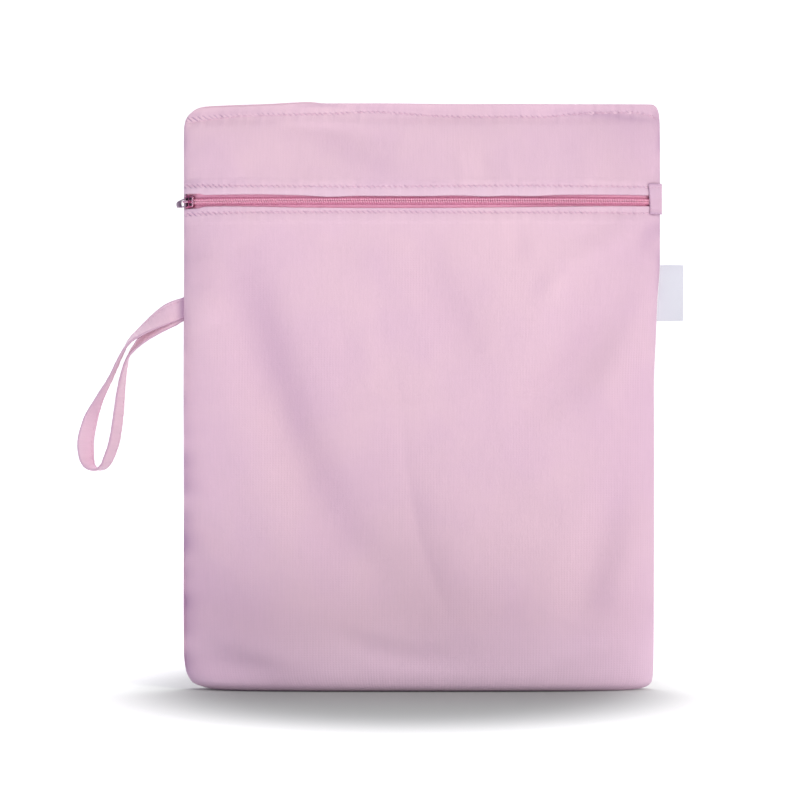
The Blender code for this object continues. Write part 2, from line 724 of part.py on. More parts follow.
def wrist_strap(finish):
    """Flat cloth loop, twisted from face-on at the seam to edge-on and back."""
    lengths, curves = strap_curves()
    outer, inner = [], []
    step = 0.5
    for section in range(STRAP_SECTIONS + 1):
        along = lengths[-1] * section / STRAP_SECTIONS
        place = Vector([curve.at(along) for curve in curves[:3]])
        before = Vector([curve.at(along - step) for curve in curves[:3]])
        after = Vector([curve.at(along + step) for curve in curves[:3]])
        way = (after - before).normalized()
        turn = math.radians(curves[3].at(along))
        level = way.cross(Vector((0.0, 1.0, 0.0))).normalized()
        width = math.cos(turn) * level + math.sin(turn) * Vector((0.0, 1.0, 0.0))
        sewn = 1.0 - smooth_step(0.0, STRAP_SEWN_LENGTH, min(along, lengths[-1] - along))
        upright = Vector((0.0, 0.0, math.copysign(1.0, width.z)))
        width = width.lerp(upright, sewn).normalized()
        thick = way.cross(width).normalized()
        outer_row, inner_row = [], []
        for share in (-1.0, 0.0, 1.0):
            across = place + width * (share * STRAP_WIDTH / 2)
            half = STRAP_THICKNESS / 2 * (1.0 - 0.25 * share ** 2)
            outer_row.append(across + thick * half)
            inner_row.append(across - thick * half)
        outer.append(outer_row)
        inner.append(inner_row)
    return closed_sheet("wrist_strap", outer, inner, finish)


def main():
    """Build every piece of the bag."""
    clear_scene()
    finishes = {name: make_finish(name) for name in FINISHES}
    cloth = finishes["bag_cloth"]
    front_panel(cloth)
    front_band(cloth)
    back_panel(cloth)
    zip_tape("zip_tape_upper", 1, finishes["zip_tape"])
    zip_tape("zip_tape_lower", -1, finishes["zip_tape"])
    zip_coil("zip_coil_upper", 1, finishes["zip_coil"])
    zip_coil("zip_coil_lower", -1, finishes["zip_coil"])
    frame = slider_frame()
    slider, parts = zip_slider(finishes["slider_metal"])
    for part in parts:
        part.matrix_world = in_metres(frame)
    pull, hinge = zip_pull(finishes["pull_metal"])
    pull.matrix_world = in_metres(frame @ hinge)
    zip_end_tab(cloth)
    side_label(finishes["label_ribbon"])
    wrist_strap(cloth)


main()
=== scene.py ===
"""Looks of the cloth wet bag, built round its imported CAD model.

Shapes are worked out in millimetres, in the frame of the CAD model, and turned into metres
when a mesh is made. The front faces -Y, +X is to the right and +Z is up.
"""

import logging
import math
from collections.abc import Callable, Sequence
from dataclasses import dataclass, field
from enum import Enum
from functools import lru_cache

import bmesh
import bpy
import numpy as np
from mathutils import Matrix, Vector

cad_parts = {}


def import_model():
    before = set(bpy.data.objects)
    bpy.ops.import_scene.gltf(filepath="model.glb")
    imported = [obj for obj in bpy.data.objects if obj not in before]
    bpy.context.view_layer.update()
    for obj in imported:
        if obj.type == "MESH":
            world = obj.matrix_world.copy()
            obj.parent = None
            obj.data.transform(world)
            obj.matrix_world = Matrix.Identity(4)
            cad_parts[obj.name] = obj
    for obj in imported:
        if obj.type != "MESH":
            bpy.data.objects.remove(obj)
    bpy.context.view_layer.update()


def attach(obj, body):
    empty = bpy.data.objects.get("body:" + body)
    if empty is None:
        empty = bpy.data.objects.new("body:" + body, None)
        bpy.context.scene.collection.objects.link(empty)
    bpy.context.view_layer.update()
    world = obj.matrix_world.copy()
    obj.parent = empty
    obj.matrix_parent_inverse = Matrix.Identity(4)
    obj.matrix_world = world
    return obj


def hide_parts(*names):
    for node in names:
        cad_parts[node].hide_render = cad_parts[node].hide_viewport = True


MM = 0.001
BAG = "bag"
PULL = "pull"
UV_NAME = "cloth"
# Point attribute holding stitch-dimple shares and counts, painted shade and painted highlight
MARKS_NAME = "sewing"

LOG = logging.getLogger("wet_bag")

Place = tuple[float, float]
Triple = tuple[float, float, float]
Colour = tuple[float, float, float, float]


class Side(Enum):
    """Face of the bag, with the direction of its outside along Y."""

    FRONT = -1
    BACK = 1


class FoldKind(Enum):
    """How a fold's cross-section falls away from its line."""

    ROLL = "roll"
    CREASE = "crease"


def smooth_step(low: float, high: float, value: np.ndarray | float) -> np.ndarray:
    """Go from 0 at low to 1 at high with a soft start and end.

    Args:
        low: Value at which the step starts.
        high: Value at which the step is complete.
        value: Number or array to step.

    Returns:
        Share of the step reached, from 0 to 1.
    """
    share = np.clip((np.asarray(value, dtype=float) - low) / (high - low), 0.0, 1.0)
    return share * share * (3.0 - 2.0 * share)


def fall(low: float, high: float, value: np.ndarray | float) -> np.ndarray:
    """Go from 1 at low to 0 at high with a soft start and end."""
    return 1.0 - smooth_step(low, high, value)


class Curve:
    """A smooth curve through (position, value) pairs that never overshoots them."""

    def __init__(self, places: Sequence[float], values: Sequence[float]) -> None:
        """Work out the slopes at the pairs.

        Args:
            places: Positions, rising.
            values: Value at each position.
        """
        self.places = np.asarray(places, dtype=float)
        self.values = np.asarray(values, dtype=float)
        rises = np.diff(self.values) / np.diff(self.places)
        slopes = [rises[0]]
        for before, after in zip(rises, rises[1:]):
            same_way = before * after > 0.0
            slopes.append(2.0 * before * after / (before + after) if same_way else 0.0)
        slopes.append(rises[-1])
        self.slopes = np.asarray(slopes)

    def at(self, place: np.ndarray | float) -> np.ndarray:
        """Value of the curve, held level past both ends.

        Args:
            place: Position or array of positions.

        Returns:
            Value at each position.
        """
        place = np.clip(np.asarray(place, dtype=float), self.places[0], self.places[-1])
        index = np.clip(np.searchsorted(self.places, place, side="right") - 1, 0,
                        len(self.places) - 2)
        step = self.places[index + 1] - self.places[index]
        share = (place - self.places[index]) / step
        start, end = self.values[index], self.values[index + 1]
        rise_start, rise_end = self.slopes[index] * step, self.slopes[index + 1] * step
        square, cube = share ** 2, share ** 3
        return (start * (2 * cube - 3 * square + 1) + rise_start * (cube - 2 * square + share)
                + end * (3 * square - 2 * cube) + rise_end * (cube - square))


@dataclass(frozen=True)
class Fold:
    """One fold of a cloth face, bent through three points of across and height."""

    start: Place
    middle: Place
    end: Place
    spread: float
    lift: float
    kind: FoldKind = FoldKind.ROLL
    steps: int = 12

    def line(self) -> list[Place]:
        """Points along the fold's line."""
        control = [2.0 * m - 0.5 * (a + b) for a, m, b in zip(self.start, self.middle, self.end)]
        shares = [step / self.steps for step in range(self.steps + 1)]
        return [tuple(a * (1 - t) ** 2 + 2 * c * t * (1 - t) + b * t ** 2
                      for a, c, b in zip(self.start, control, self.end)) for t in shares]

    def lift_at(self, across: np.ndarray, height: np.ndarray) -> np.ndarray:
        """Lift that the fold gives the cloth.

        Args:
            across: Places across the bag.
            height: Heights of the same places.

        Returns:
            Lift out of the bag at each place.
        """
        best = np.full(across.shape, 1e9)
        best_along = np.zeros(across.shape)
        points = self.line()
        for index, ((ax, az), (bx, bz)) in enumerate(zip(points, points[1:])):
            length = (bx - ax) ** 2 + (bz - az) ** 2
            share = ((across - ax) * (bx - ax) + (height - az) * (bz - az)) / length
            share = np.clip(share, 0.0, 1.0)
            distance = np.hypot(across - ax - share * (bx - ax), height - az - share * (bz - az))
            nearer = distance < best
            best = np.where(nearer, distance, best)
            best_along = np.where(nearer, (index + share) / self.steps, best_along)
        taper = np.sin(np.pi * np.clip(best_along, 0.03, 0.97)) ** 0.6
        if self.kind is FoldKind.CREASE:
            profile = np.exp(-np.sqrt((best / self.spread) ** 2 + 0.06) + 0.24)
        else:
            profile = np.exp(-(best / self.spread) ** 2)
        return self.lift * taper * profile


def fold_table(*rows: Sequence[float | FoldKind]) -> tuple[Fold, ...]:
    """Make folds from rows of start, middle, end (across and height), spread, lift and kind."""
    return tuple(Fold(row[0:2], row[2:4], row[4:6], *row[6:]) for row in rows)


@dataclass(frozen=True)
class SewnLine:
    """A line of stitches across a cloth, with the channel that it pulls in."""

    levels: Curve
    depth: float = 0.45
    width: float = 0.95
    hollow: float = 0.75
    hollow_width: float = 3.1
    pucker: float = 0.2
    tick: float = 3.6
    slant: float = 0.32
    span: Place = (-158.5, 161.0)
    thread_out: float = 0.12
    pucker_width: float = 6.5
    tick_reach: float = 2.3

    def dip_at(self, across: np.ndarray, height: np.ndarray) -> np.ndarray:
        """How far the line moves the cloth.

        Args:
            across: Places across the bag.
            height: Heights of the same places.

        Returns:
            Shift out of the bag, negative in the channel.
        """
        away = height - self.levels.at(across)
        pull = 1.0 + 0.9 * fall(-162.0, -140.0, across)
        ripple = np.sin(across * 0.74) + 0.7 * np.sin(across * 0.463 + 1.3)
        ripple = ripple + 0.5 * np.sin(across * 1.21 + 0.4)
        fade = np.exp(-(away / self.pucker_width) ** 2)
        return (-self.depth * pull * np.exp(-(away / self.width) ** 2)
                - self.hollow * np.exp(-(away / self.hollow_width) ** 2)
                + self.pucker * pull * ripple * fade)

    def tick_marks(self, across: np.ndarray, height: np.ndarray) -> tuple[np.ndarray, np.ndarray]:
        """Where the needle's slanted dimples lie.

        Args:
            across: Places across the bag.
            height: Heights of the same places.

        Returns:
            How near each place is to the line, from 0 to 1, and the count of dimples up to it.
        """
        away = height - self.levels.at(across)
        near = np.clip(1.0 - np.abs(away) / self.tick_reach, 0.0, 1.0)
        pull = 0.55 + 0.75 * fall(-160.0, -118.0, across)
        return near * pull, across / self.tick + self.slant * away

    def shade_at(self, across: np.ndarray, height: np.ndarray) -> np.ndarray:
        """How much painted shade darkens the gathered cloth above the line.

        Args:
            across: Places across the bag.
            height: Heights of the same places.

        Returns:
            Share of the painted shade's colour at each place.
        """
        away = height - self.levels.at(across)
        patches = 0.5 + 0.3 * np.sin(across / 17.0 + 2.2) + 0.2 * np.sin(across / 7.3)
        corner = fall(-161.0, -136.0, across)
        return (0.24 * patches + 0.5 * corner) * np.exp(-((away - 2.5) / 2.1) ** 2)


def curve_of(rows: Sequence[Place]) -> Curve:
    """Make a curve from rows of position and value."""
    return Curve([row[0] for row in rows], [row[1] for row in rows])


SECTION_ROWS = (
    (0.0, 139.0, 146.0, 17.0, 17.0, 4.0, 2.2),
    (0.7, 143.5, 150.0, 20.6, 19.2, 3.8, 2.2),
    (2.0, 148.6, 154.6, 24.4, 21.2, 3.7, 2.1),
    (4.8, 155.4, 158.0, 27.3, 23.4, 3.5, 2.1),
    (13.0, 159.7, 159.2, 29.1, 26.2, 3.3, 2.0),
    (25.0, 161.2, 159.5, 29.4, 27.8, 3.2, 2.0),
    (60.0, 161.4, 159.7, 29.8, 28.8, 3.1, 1.9),
    (110.0, 161.2, 159.8, 29.6, 28.8, 3.1, 1.9),
    (170.0, 161.3, 159.8, 28.4, 27.6, 3.2, 1.9),
    (205.0, 161.4, 159.7, 27.2, 26.4, 3.3, 1.9),
    (240.0, 161.3, 161.0, 25.6, 24.9, 3.4, 1.9),
    (265.0, 161.2, 162.0, 24.2, 23.6, 3.4, 2.0),
    (290.0, 161.1, 163.7, 22.6, 22.0, 3.4, 2.0),
    (324.0, 161.1, 163.8, 20.0, 18.9, 3.6, 2.1),
    (341.0, 161.2, 163.8, 20.0, 16.6, 3.6, 2.1),
    (356.0, 161.2, 163.8, 15.4, 13.2, 4.4, 2.1),
    (372.0, 161.2, 163.8, 9.4, 8.4, 6.5, 2.0),
    (384.0, 161.1, 163.7, 4.4, 4.2, 11.0, 2.0),
    (390.5, 160.2, 163.4, 1.4, 1.4, 20.0, 2.0),
    (394.0, 158.6, 162.9, 1.0, 1.0, 28.0, 2.0),
    (397.5, 155.0, 161.6, 1.0, 1.0, 30.0, 2.0),
    (400.0, 149.0, 158.6, 1.0, 1.0, 30.0, 2.0),
)
SECTION_NAMES = ("left", "right", "front", "back", "square", "full")

MAIN_FOLDS = fold_table(
    (-119.5, 300, -86, 172, -17, 61, 17, -5.7),
    (-150, 250, -123, 165, -72, 54, 18, 4.2),
    (150, 286, 104, 216, 52, 190, 16, -4.9),
    (158, 292, 134, 232, 118, 190, 15, 3.5),
    (138, 150, 120, 95, 104, 45, 15, -3.9),
    (156, 130, 143, 90, 129, 50, 13, 3.1),
    (-10, 150, 20, 95, 60, 55, 34, 2.8),
    (-102, 386, -58, 380, -10, 370, 8, -2.4),
)

# Softer and smaller folds that only the looks show: storage creases, drags from the zip,
# bumps beside the seams and puckers of the band
FRONT_FOLDS = fold_table(
    (-13.7, 204, -3.4, 118.8, 20.5, 50.5, 5, -1.4, FoldKind.CREASE),
    (-68.3, 183.6, -13.7, 192.5, 20.5, 190.4, 5, 1.2, FoldKind.CREASE),
    (-14, 200, -24, 228, -30, 262, 8, -1.2),
    (-64.8, 316.7, -51, 303, -34, 289.4, 8, -1.7),
    (-10.2, 316.7, 17, 265.5, 37.5, 224.6, 12, -2.1),
    (-30, 300, -6, 262, 8, 224, 10, 1.3),
    (-58, 251.9, -51, 236.9, -44, 221, 8, -1.7),
    (64.8, 320, 65.2, 305, 64.8, 289.4, 8, -1.7),
    (95.6, 286, 88.7, 273.7, 81.9, 262, 8, 1.7),
    (-150, 276, -146, 262, -140, 246, 11, 3),
    (-154, 144, -147, 133, -138, 126, 6, 1.7),
    (-152, 120, -143, 110, -134, 104, 6, -1.7),
    (-150, 102, -142, 92, -131, 86, 6, 1.6),
    (24, 366, 28, 356, 31, 346, 4.5, 1),
    (40, 368, 43, 357, 45, 345, 5, -1.2),
    (58, 366, 60, 355, 62, 345, 4.5, 0.9),
    (-96, 372, -88, 358, -82, 345, 9, -1.3),
    (104, 374, 112, 360, 117, 346, 9, 1.3),
    (-148, 378, -132, 362, -122, 348, 9, 1.7),
    (146, 34, 118, 30, 88, 18, 9, 1.8),
    (-148, 40, -120, 30, -84, 18, 9, 2.1),
    (-60, 42, -20, 26, 30, 22, 8, -1.6),
    (30, 150, 62, 132, 98, 128, 16, -1.8),
    (-178, 142, -163, 46, -112, -18, 36, -13.5),
    (-170, 296, -167, 244, -160, 176, 20, 5.5),
    (166, 322, 161, 308, 152, 294, 9, -3),
    (-166, 330, -160, 312, -156, 290, 20, -3.9),
    (166, 190, 163, 150, 160, 60, 20, -3.2),
    (148, 322, 120, 300, 92, 292, 9, 1.7),
    (-152, 322, -132, 306, -116, 282, 9, 1.8),
)

BACK_FOLDS = fold_table(
    (-140, 330, -96, 236, -44, 190, 18, -2.9),
    (132, 338, 96, 250, 60, 150, 19, -3.1),
    (-150, 210, -112, 120, -70, 50, 17, 2.4),
    (150, 240, 124, 150, 104, 60, 15, 2.4),
    (4, 350, -8, 210, 6, 60, 5, -0.8, FoldKind.CREASE),
    (-74, 196, 0, 190, 78, 197, 5, 0.7, FoldKind.CREASE),
    (-20, 300, 10, 260, 20, 214, 12, -1.4),
    (-146, 44, -112, 30, -76, 20, 9, 1.2),
    (144, 42, 112, 30, 74, 20, 9, 1.2),
    (-60, 120, -20, 84, 30, 70, 20, 1.4),
)

# Paths on the front cloth where painted shade tints it a little towards lilac, lift being the
# painted shade's share
FRONT_SHADES = fold_table(
    (-124, 308, -98, 228, -56, 108, 15, 0.38),
    (-84, 250, -52, 150, -12, 60, 32, 0.04),
    (-160, 322, -153, 298, -140, 272, 12, 0.24),
    (-10, 300, 24, 262, 46, 214, 20, 0.14),
    (-70, 372, -40, 362, -8, 352, 8, 0.20),
    (118, 262, 102, 228, 66, 200, 13, 0.28),
    (0, 142, 10, 92, 28, 50, 14, 0.17),
    (160, 322, 156, 310, 150, 298, 7, 0.35),
    (96, 393.5, 128, 391.5, 158, 387.5, 2.6, 0.45),
    (-160, 391, -128, 393.5, -92, 393.5, 2.4, 0.32),
    (-84, 397, -66, 398.5, -50, 397, 1.8, 0.40),
)

UPPER_EDGE_WAVE = curve_of((
    (-162.0, 0.3), (-116.0, 0.5), (-82.0, -0.3), (-61.0, -1.4), (-41.0, -0.8), (0.0, -1.0),
    (25.0, -0.5), (45.0, -1.2), (60.0, -0.6), (75.0, -0.9), (95.0, 0.0), (130.0, 0.3),
    (162.0, 0.2)))
LOWER_EDGE_WAVE = curve_of((
    (-162.0, 0.2), (-140.0, 0.4), (-100.0, -0.2), (-82.0, -0.6), (-14.0, -0.9), (54.0, -0.5),
    (90.0, -0.1), (123.0, 0.4), (162.0, 0.9)))
TOP_EDGE = curve_of(((-165.0, 3.6), (-131.0, 2.0), (-106.0, 1.4), (-74.0, 0.0), (0.0, 0.2),
                     (60.0, 0.6), (165.0, 0.6)))
LOWER_HEM_LINE = SewnLine(curve_of(((-165.0, 323.7), (-120.0, 324.4), (-40.0, 324.8),
                                    (60.0, 324.4), (165.0, 324.2))))
UPPER_HEM_LINE = SewnLine(curve_of(((-165.0, 343.1), (-120.0, 342.4), (-30.0, 341.8),
                                    (60.0, 342.4), (165.0, 342.0))))
FLANGE_LINE = SewnLine(curve_of((
    (-156.0, 389.0), (-140.0, 391.0), (-116.0, 392.6), (-89.0, 392.3), (-61.0, 392.6),
    (-34.0, 394.0), (-13.7, 393.0), (13.7, 391.4), (34.0, 390.8), (61.0, 390.8), (82.0, 390.6),
    (102.0, 392.4), (123.0, 393.8), (143.0, 394.0), (157.0, 392.0), (163.0, 388.5))),
    depth=0.3, width=0.9, hollow=0.55, hollow_width=3.4, pucker=0.22, span=(-155.0, 160.0),
    thread_out=0.1)


@dataclass(frozen=True)
class BagForm:
    """Shape that every cloth of the bag follows."""

    height: float = 400.0
    wall: float = 1.4
    hem: float = 1.8
    seam_gap: float = 0.3
    seam_lip: float = 0.4
    zip_height: float = 332.2
    bottom_seam_shift: float = 7.0
    floor_fade: Place = (6.0, 40.0)
    flange_fade: Place = (382.0, 391.0)
    main_folds_from_zip: Place = (8.0, 34.0)
    small_folds_from_zip: Place = (4.0, 14.0)
    lower_hem_fold: Place = (316.5, 318.5)
    upper_hem_fold: Place = (346.5, 348.5)
    hem_lift: float = 0.3
    sections: dict[str, Curve] = field(default_factory=lambda: {
        name: Curve([row[0] for row in SECTION_ROWS], [row[index + 1] for row in SECTION_ROWS])
        for index, name in enumerate(SECTION_NAMES)})

    def half_width(self, height: np.ndarray, share: np.ndarray) -> np.ndarray:
        """Side seam's distance from the middle, on the side that each share lies on."""
        return np.where(share < 0.0, self.sections["left"].at(height),
                        self.sections["right"].at(height))

    def bulge(self, height: np.ndarray, share: np.ndarray) -> np.ndarray:
        """Share of the section's depth that the cloth reaches across its width."""
        square = self.sections["square"].at(height)
        full = self.sections["full"].at(height)
        return np.maximum(0.0, 1.0 - np.abs(share) ** square) ** (1.0 / full)

    def relief(self, side: Side, across: np.ndarray, height: np.ndarray) -> np.ndarray:
        """Lift of the cloth by its folds, creases and sewn lines.

        Args:
            side: Face of the bag.
            across: Places across the bag.
            height: Heights of the same places.

        Returns:
            Lift out of the bag at each place.
        """
        above_floor = smooth_step(*self.floor_fade, height)
        under_flange = fall(*self.flange_fade, height)
        total = np.zeros(across.shape)
        if side is Side.FRONT:
            from_zip = np.abs(height - self.zip_height)
            away = smooth_step(*self.main_folds_from_zip, from_zip)
            near = smooth_step(*self.small_folds_from_zip, from_zip)
            for fold in MAIN_FOLDS:
                total += fold.lift_at(across, height) * away * above_floor * under_flange
            for fold in FRONT_FOLDS:
                total += (fold.lift_at(across, height) * near * under_flange
                          * smooth_step(3.0, 20.0, height))
            total += self.hem_relief(across, height)
        else:
            for fold in BACK_FOLDS:
                total += (fold.lift_at(across, height) * under_flange
                          * smooth_step(3.0, 24.0, height))
        total += self.small_waves(side, across, height) * under_flange * above_floor
        total += FLANGE_LINE.dip_at(across, height) * smooth_step(380.0, 386.0, height)
        return total

    def hem_relief(self, across: np.ndarray, height: np.ndarray) -> np.ndarray:
        """Channels and doubled cloth of the two hems beside the zip.

        Args:
            across: Places across the bag.
            height: Heights of the same places.

        Returns:
            Lift out of the bag at each place.
        """
        below = fall(self.zip_height - 1.0, self.zip_height, height)
        lower = LOWER_HEM_LINE.dip_at(across, height) * below
        upper = UPPER_HEM_LINE.dip_at(across, height) * (1.0 - below)
        doubled = (smooth_step(*self.lower_hem_fold, height) * below
                   + fall(*self.upper_hem_fold, height) * (1.0 - below))
        return lower + upper + self.hem_lift * doubled

    def small_waves(self, side: Side, across: np.ndarray, height: np.ndarray) -> np.ndarray:
        """Slight unevenness of the laminated knit, and ripples beside the side seams.

        Args:
            side: Face of the bag.
            across: Places across the bag.
            height: Heights of the same places.

        Returns:
            Lift out of the bag at each place.
        """
        phase = 0.0 if side is Side.FRONT else 2.1
        slow = (np.sin(across * 0.043 + height * 0.021 + phase)
                * np.sin(height * 0.037 - across * 0.015 + 1.7 * phase))
        quick = (np.sin(across * 0.131 + height * 0.047 + 0.6 + phase)
                 * np.sin(height * 0.109 - across * 0.052 + phase))
        edge = 162.0 - np.abs(across)
        seam = np.sin(height * 0.39 + phase) + 0.6 * np.sin(height * 0.71 + 1.1)
        return 0.34 * slow + 0.16 * quick + 0.26 * seam * np.exp(-(edge / 9.0) ** 2)

    def flange_wave(self, across: np.ndarray, height: np.ndarray) -> np.ndarray:
        """Sideways wave of the flat top edge."""
        wave = (1.5 * np.sin(2.0 * np.pi * (across + 30.0) / 150.0)
                + 0.8 * np.sin(2.0 * np.pi * across / 83.0))
        return wave * smooth_step(362.0, 396.0, height)

    def cloth(self, side: Side, height: np.ndarray, share: np.ndarray, inset: np.ndarray | float,
              rise: np.ndarray | float = 0.0) -> np.ndarray:
        """Points of the bag's cloth.

        Args:
            side: Face of the bag.
            height: Height of each point before the top edge's drop.
            share: Share of the half width, from -1 at the left seam to 1 at the right seam.
            inset: How far inside the outer face each point lies.
            rise: Extra height.

        Returns:
            Array of points, with x, y and z last.
        """
        height, share = np.broadcast_arrays(np.asarray(height, float), np.asarray(share, float))
        across = (self.half_width(height, share) - inset) * share
        hidden = np.minimum(1.0, np.asarray(inset) / self.wall)
        name = "front" if side is Side.FRONT else "back"
        swell = self.sections[name].at(height) - inset + self.seam_lip * hidden
        round_share = self.bulge(height, share)
        depth = (self.seam_gap / 2 + self.seam_lip * (1.0 - hidden)
                 + np.maximum(0.0, swell) * round_share)
        depth = depth + self.relief(side, across, height) * round_share ** 0.5
        level = height + rise - TOP_EDGE.at(across) * smooth_step(370.0, 400.0, height)
        return np.stack((across, side.value * depth + self.flange_wave(across, height), level),
                        axis=-1)

    def on_face(self, side: Side, across: np.ndarray, height: np.ndarray,
                out: float) -> np.ndarray:
        """Points a distance out from a face, at given places across it.

        Args:
            side: Face of the bag.
            across: Places across the bag.
            height: Heights of the same places.
            out: Distance outside the face.

        Returns:
            Array of points.
        """
        share = across / self.half_width(height, across)
        return self.cloth(side, height, np.clip(share, -1.0, 1.0), -out)

    @staticmethod
    def column_shares(count: int) -> np.ndarray:
        """Shares of the half width, closer together near the side seams."""
        even = np.linspace(-1.0, 1.0, count + 1)
        return 0.22 * even + 0.78 * np.sin(np.pi / 2 * even)

    def floor(self, side: Side, shares: np.ndarray, rows: int) -> tuple[np.ndarray, np.ndarray]:
        """Outer and inner rows of the flat patch, from the bottom seam to the wall's edge.

        Args:
            side: Face of the bag that the patch turns up into.
            shares: Shares of the half width.
            rows: How many rows the patch has.

        Returns:
            The outer rows and the inner rows.
        """
        grids = []
        for inset, rise in ((0.0, 0.0), (self.wall, self.wall)):
            edge = self.cloth(side, np.zeros(shares.shape), shares, inset, rise)
            seam = (self.bottom_seam_shift * (1.0 - shares ** 2) ** 2
                    + side.value * self.seam_gap / 2)
            grid = []
            for row in range(rows):
                points = edge.copy()
                points[:, 1] = seam + (edge[:, 1] - seam) * row / rows
                grid.append(points)
            grids.append(np.array(grid))
        return grids[0], grids[1]

    def wall_grid(self, side: Side, heights: np.ndarray, shares: np.ndarray,
                  insets: np.ndarray) -> tuple[np.ndarray, np.ndarray]:
        """Outer and inner rows of a cloth that goes through the given heights.

        Args:
            side: Face of the bag.
            heights: Height of each row.
            shares: Shares of the half width.
            insets: Thickness of the cloth at each row.

        Returns:
            The outer rows and the inner rows.
        """
        level, share = np.meshgrid(heights, shares, indexing="ij")
        rise = self.wall * np.maximum(0.0, 1.0 - level / 13.0) ** 2
        outer = self.cloth(side, level, share, 0.0)
        inner = self.cloth(side, level, share, insets[:, None], rise)
        return outer, inner


FORM = BagForm()


def points_of(piece: bpy.types.Object) -> np.ndarray:
    """Points of a piece in millimetres."""
    points = np.zeros(len(piece.data.vertices) * 3)
    piece.data.vertices.foreach_get("co", points)
    return points.reshape(-1, 3) / MM


@dataclass(frozen=True)
class EdgeShade:
    """Painted shade in the cloth's colour beside its seams and along the margins of the front."""

    seam_width: float = 2.4
    low_left_width: float = 3.6
    low_left_more: float = 0.4
    low_left_top: Place = (150.0, 205.0)
    low_left_side: Place = (-158.0, -120.0)
    corner: float = 0.31
    corner_reach: Place = (105.0, 150.0)
    right: float = 0.29
    right_start: Place = (85.0, 150.0)


EDGE_SHADE = EdgeShade()


def mark_sewing_and_painted_shade(piece: bpy.types.Object, lines: Sequence[SewnLine]) -> None:
    """Store on a cloth's points where its sewn lines dimple it and how much painted shade darkens
    it.

    Args:
        piece: The cloth.
        lines: Its sewn lines.
    """
    points = points_of(piece)
    across, height = points[:, 0], points[:, 2]
    marks = np.zeros(points.shape)
    for line in lines:
        near, count = line.tick_marks(across, height)
        nearer = near > marks[:, 0]
        marks[nearer, 0] = near[nearer]
        marks[nearer, 1] = count[nearer]
    # Painted shade beside the side seams, wider and darker in the lower left
    edge = np.minimum(across - across.min(), across.max() - across)
    gather = 0.6 + 0.25 * np.sin(height / 7.3) + 0.15 * np.sin(height / 3.1 + 1.0)
    look = EDGE_SHADE
    low_left = fall(*look.low_left_top, height) * fall(*look.low_left_side, across)
    painted_shade = (np.exp(-edge / (look.seam_width + look.low_left_width * low_left)) * gather
            * (1.0 + look.low_left_more * low_left))
    # Painted shade on the front: its lower left corner, its right margin and the FRONT_SHADES
    # paths
    if points[:, 1].mean() < 0.0:
        from_corner = (across + 162.0) / look.corner_reach[0] + height / look.corner_reach[1]
        painted_shade += look.corner * fall(0.6, 1.2, from_corner)
        painted_shade += look.right * smooth_step(*look.right_start, across)
        for shade in FRONT_SHADES:
            painted_shade += np.maximum(shade.lift_at(across, height), 0.0)
    # Painted shade on the gathered cloth above each sewn line
    for line in lines:
        painted_shade = np.maximum(painted_shade, line.shade_at(across, height))
    marks[:, 2] = painted_shade
    store_marks(piece, marks)


def store_marks(piece: bpy.types.Object, marks: np.ndarray) -> None:
    """Keep three numbers for each point of a cloth: dimple share, dimple count and painted shade.
    """
    layer = piece.data.attributes.new(MARKS_NAME, "FLOAT_VECTOR", "POINT")
    layer.data.foreach_set("vector", marks.astype(np.float32).ravel())


def linked(name: str, data: bpy.types.ID) -> bpy.types.Object:
    """Make an object of some data and link it to the scene."""
    piece = bpy.data.objects.new(name, data)
    bpy.context.collection.objects.link(piece)
    return piece


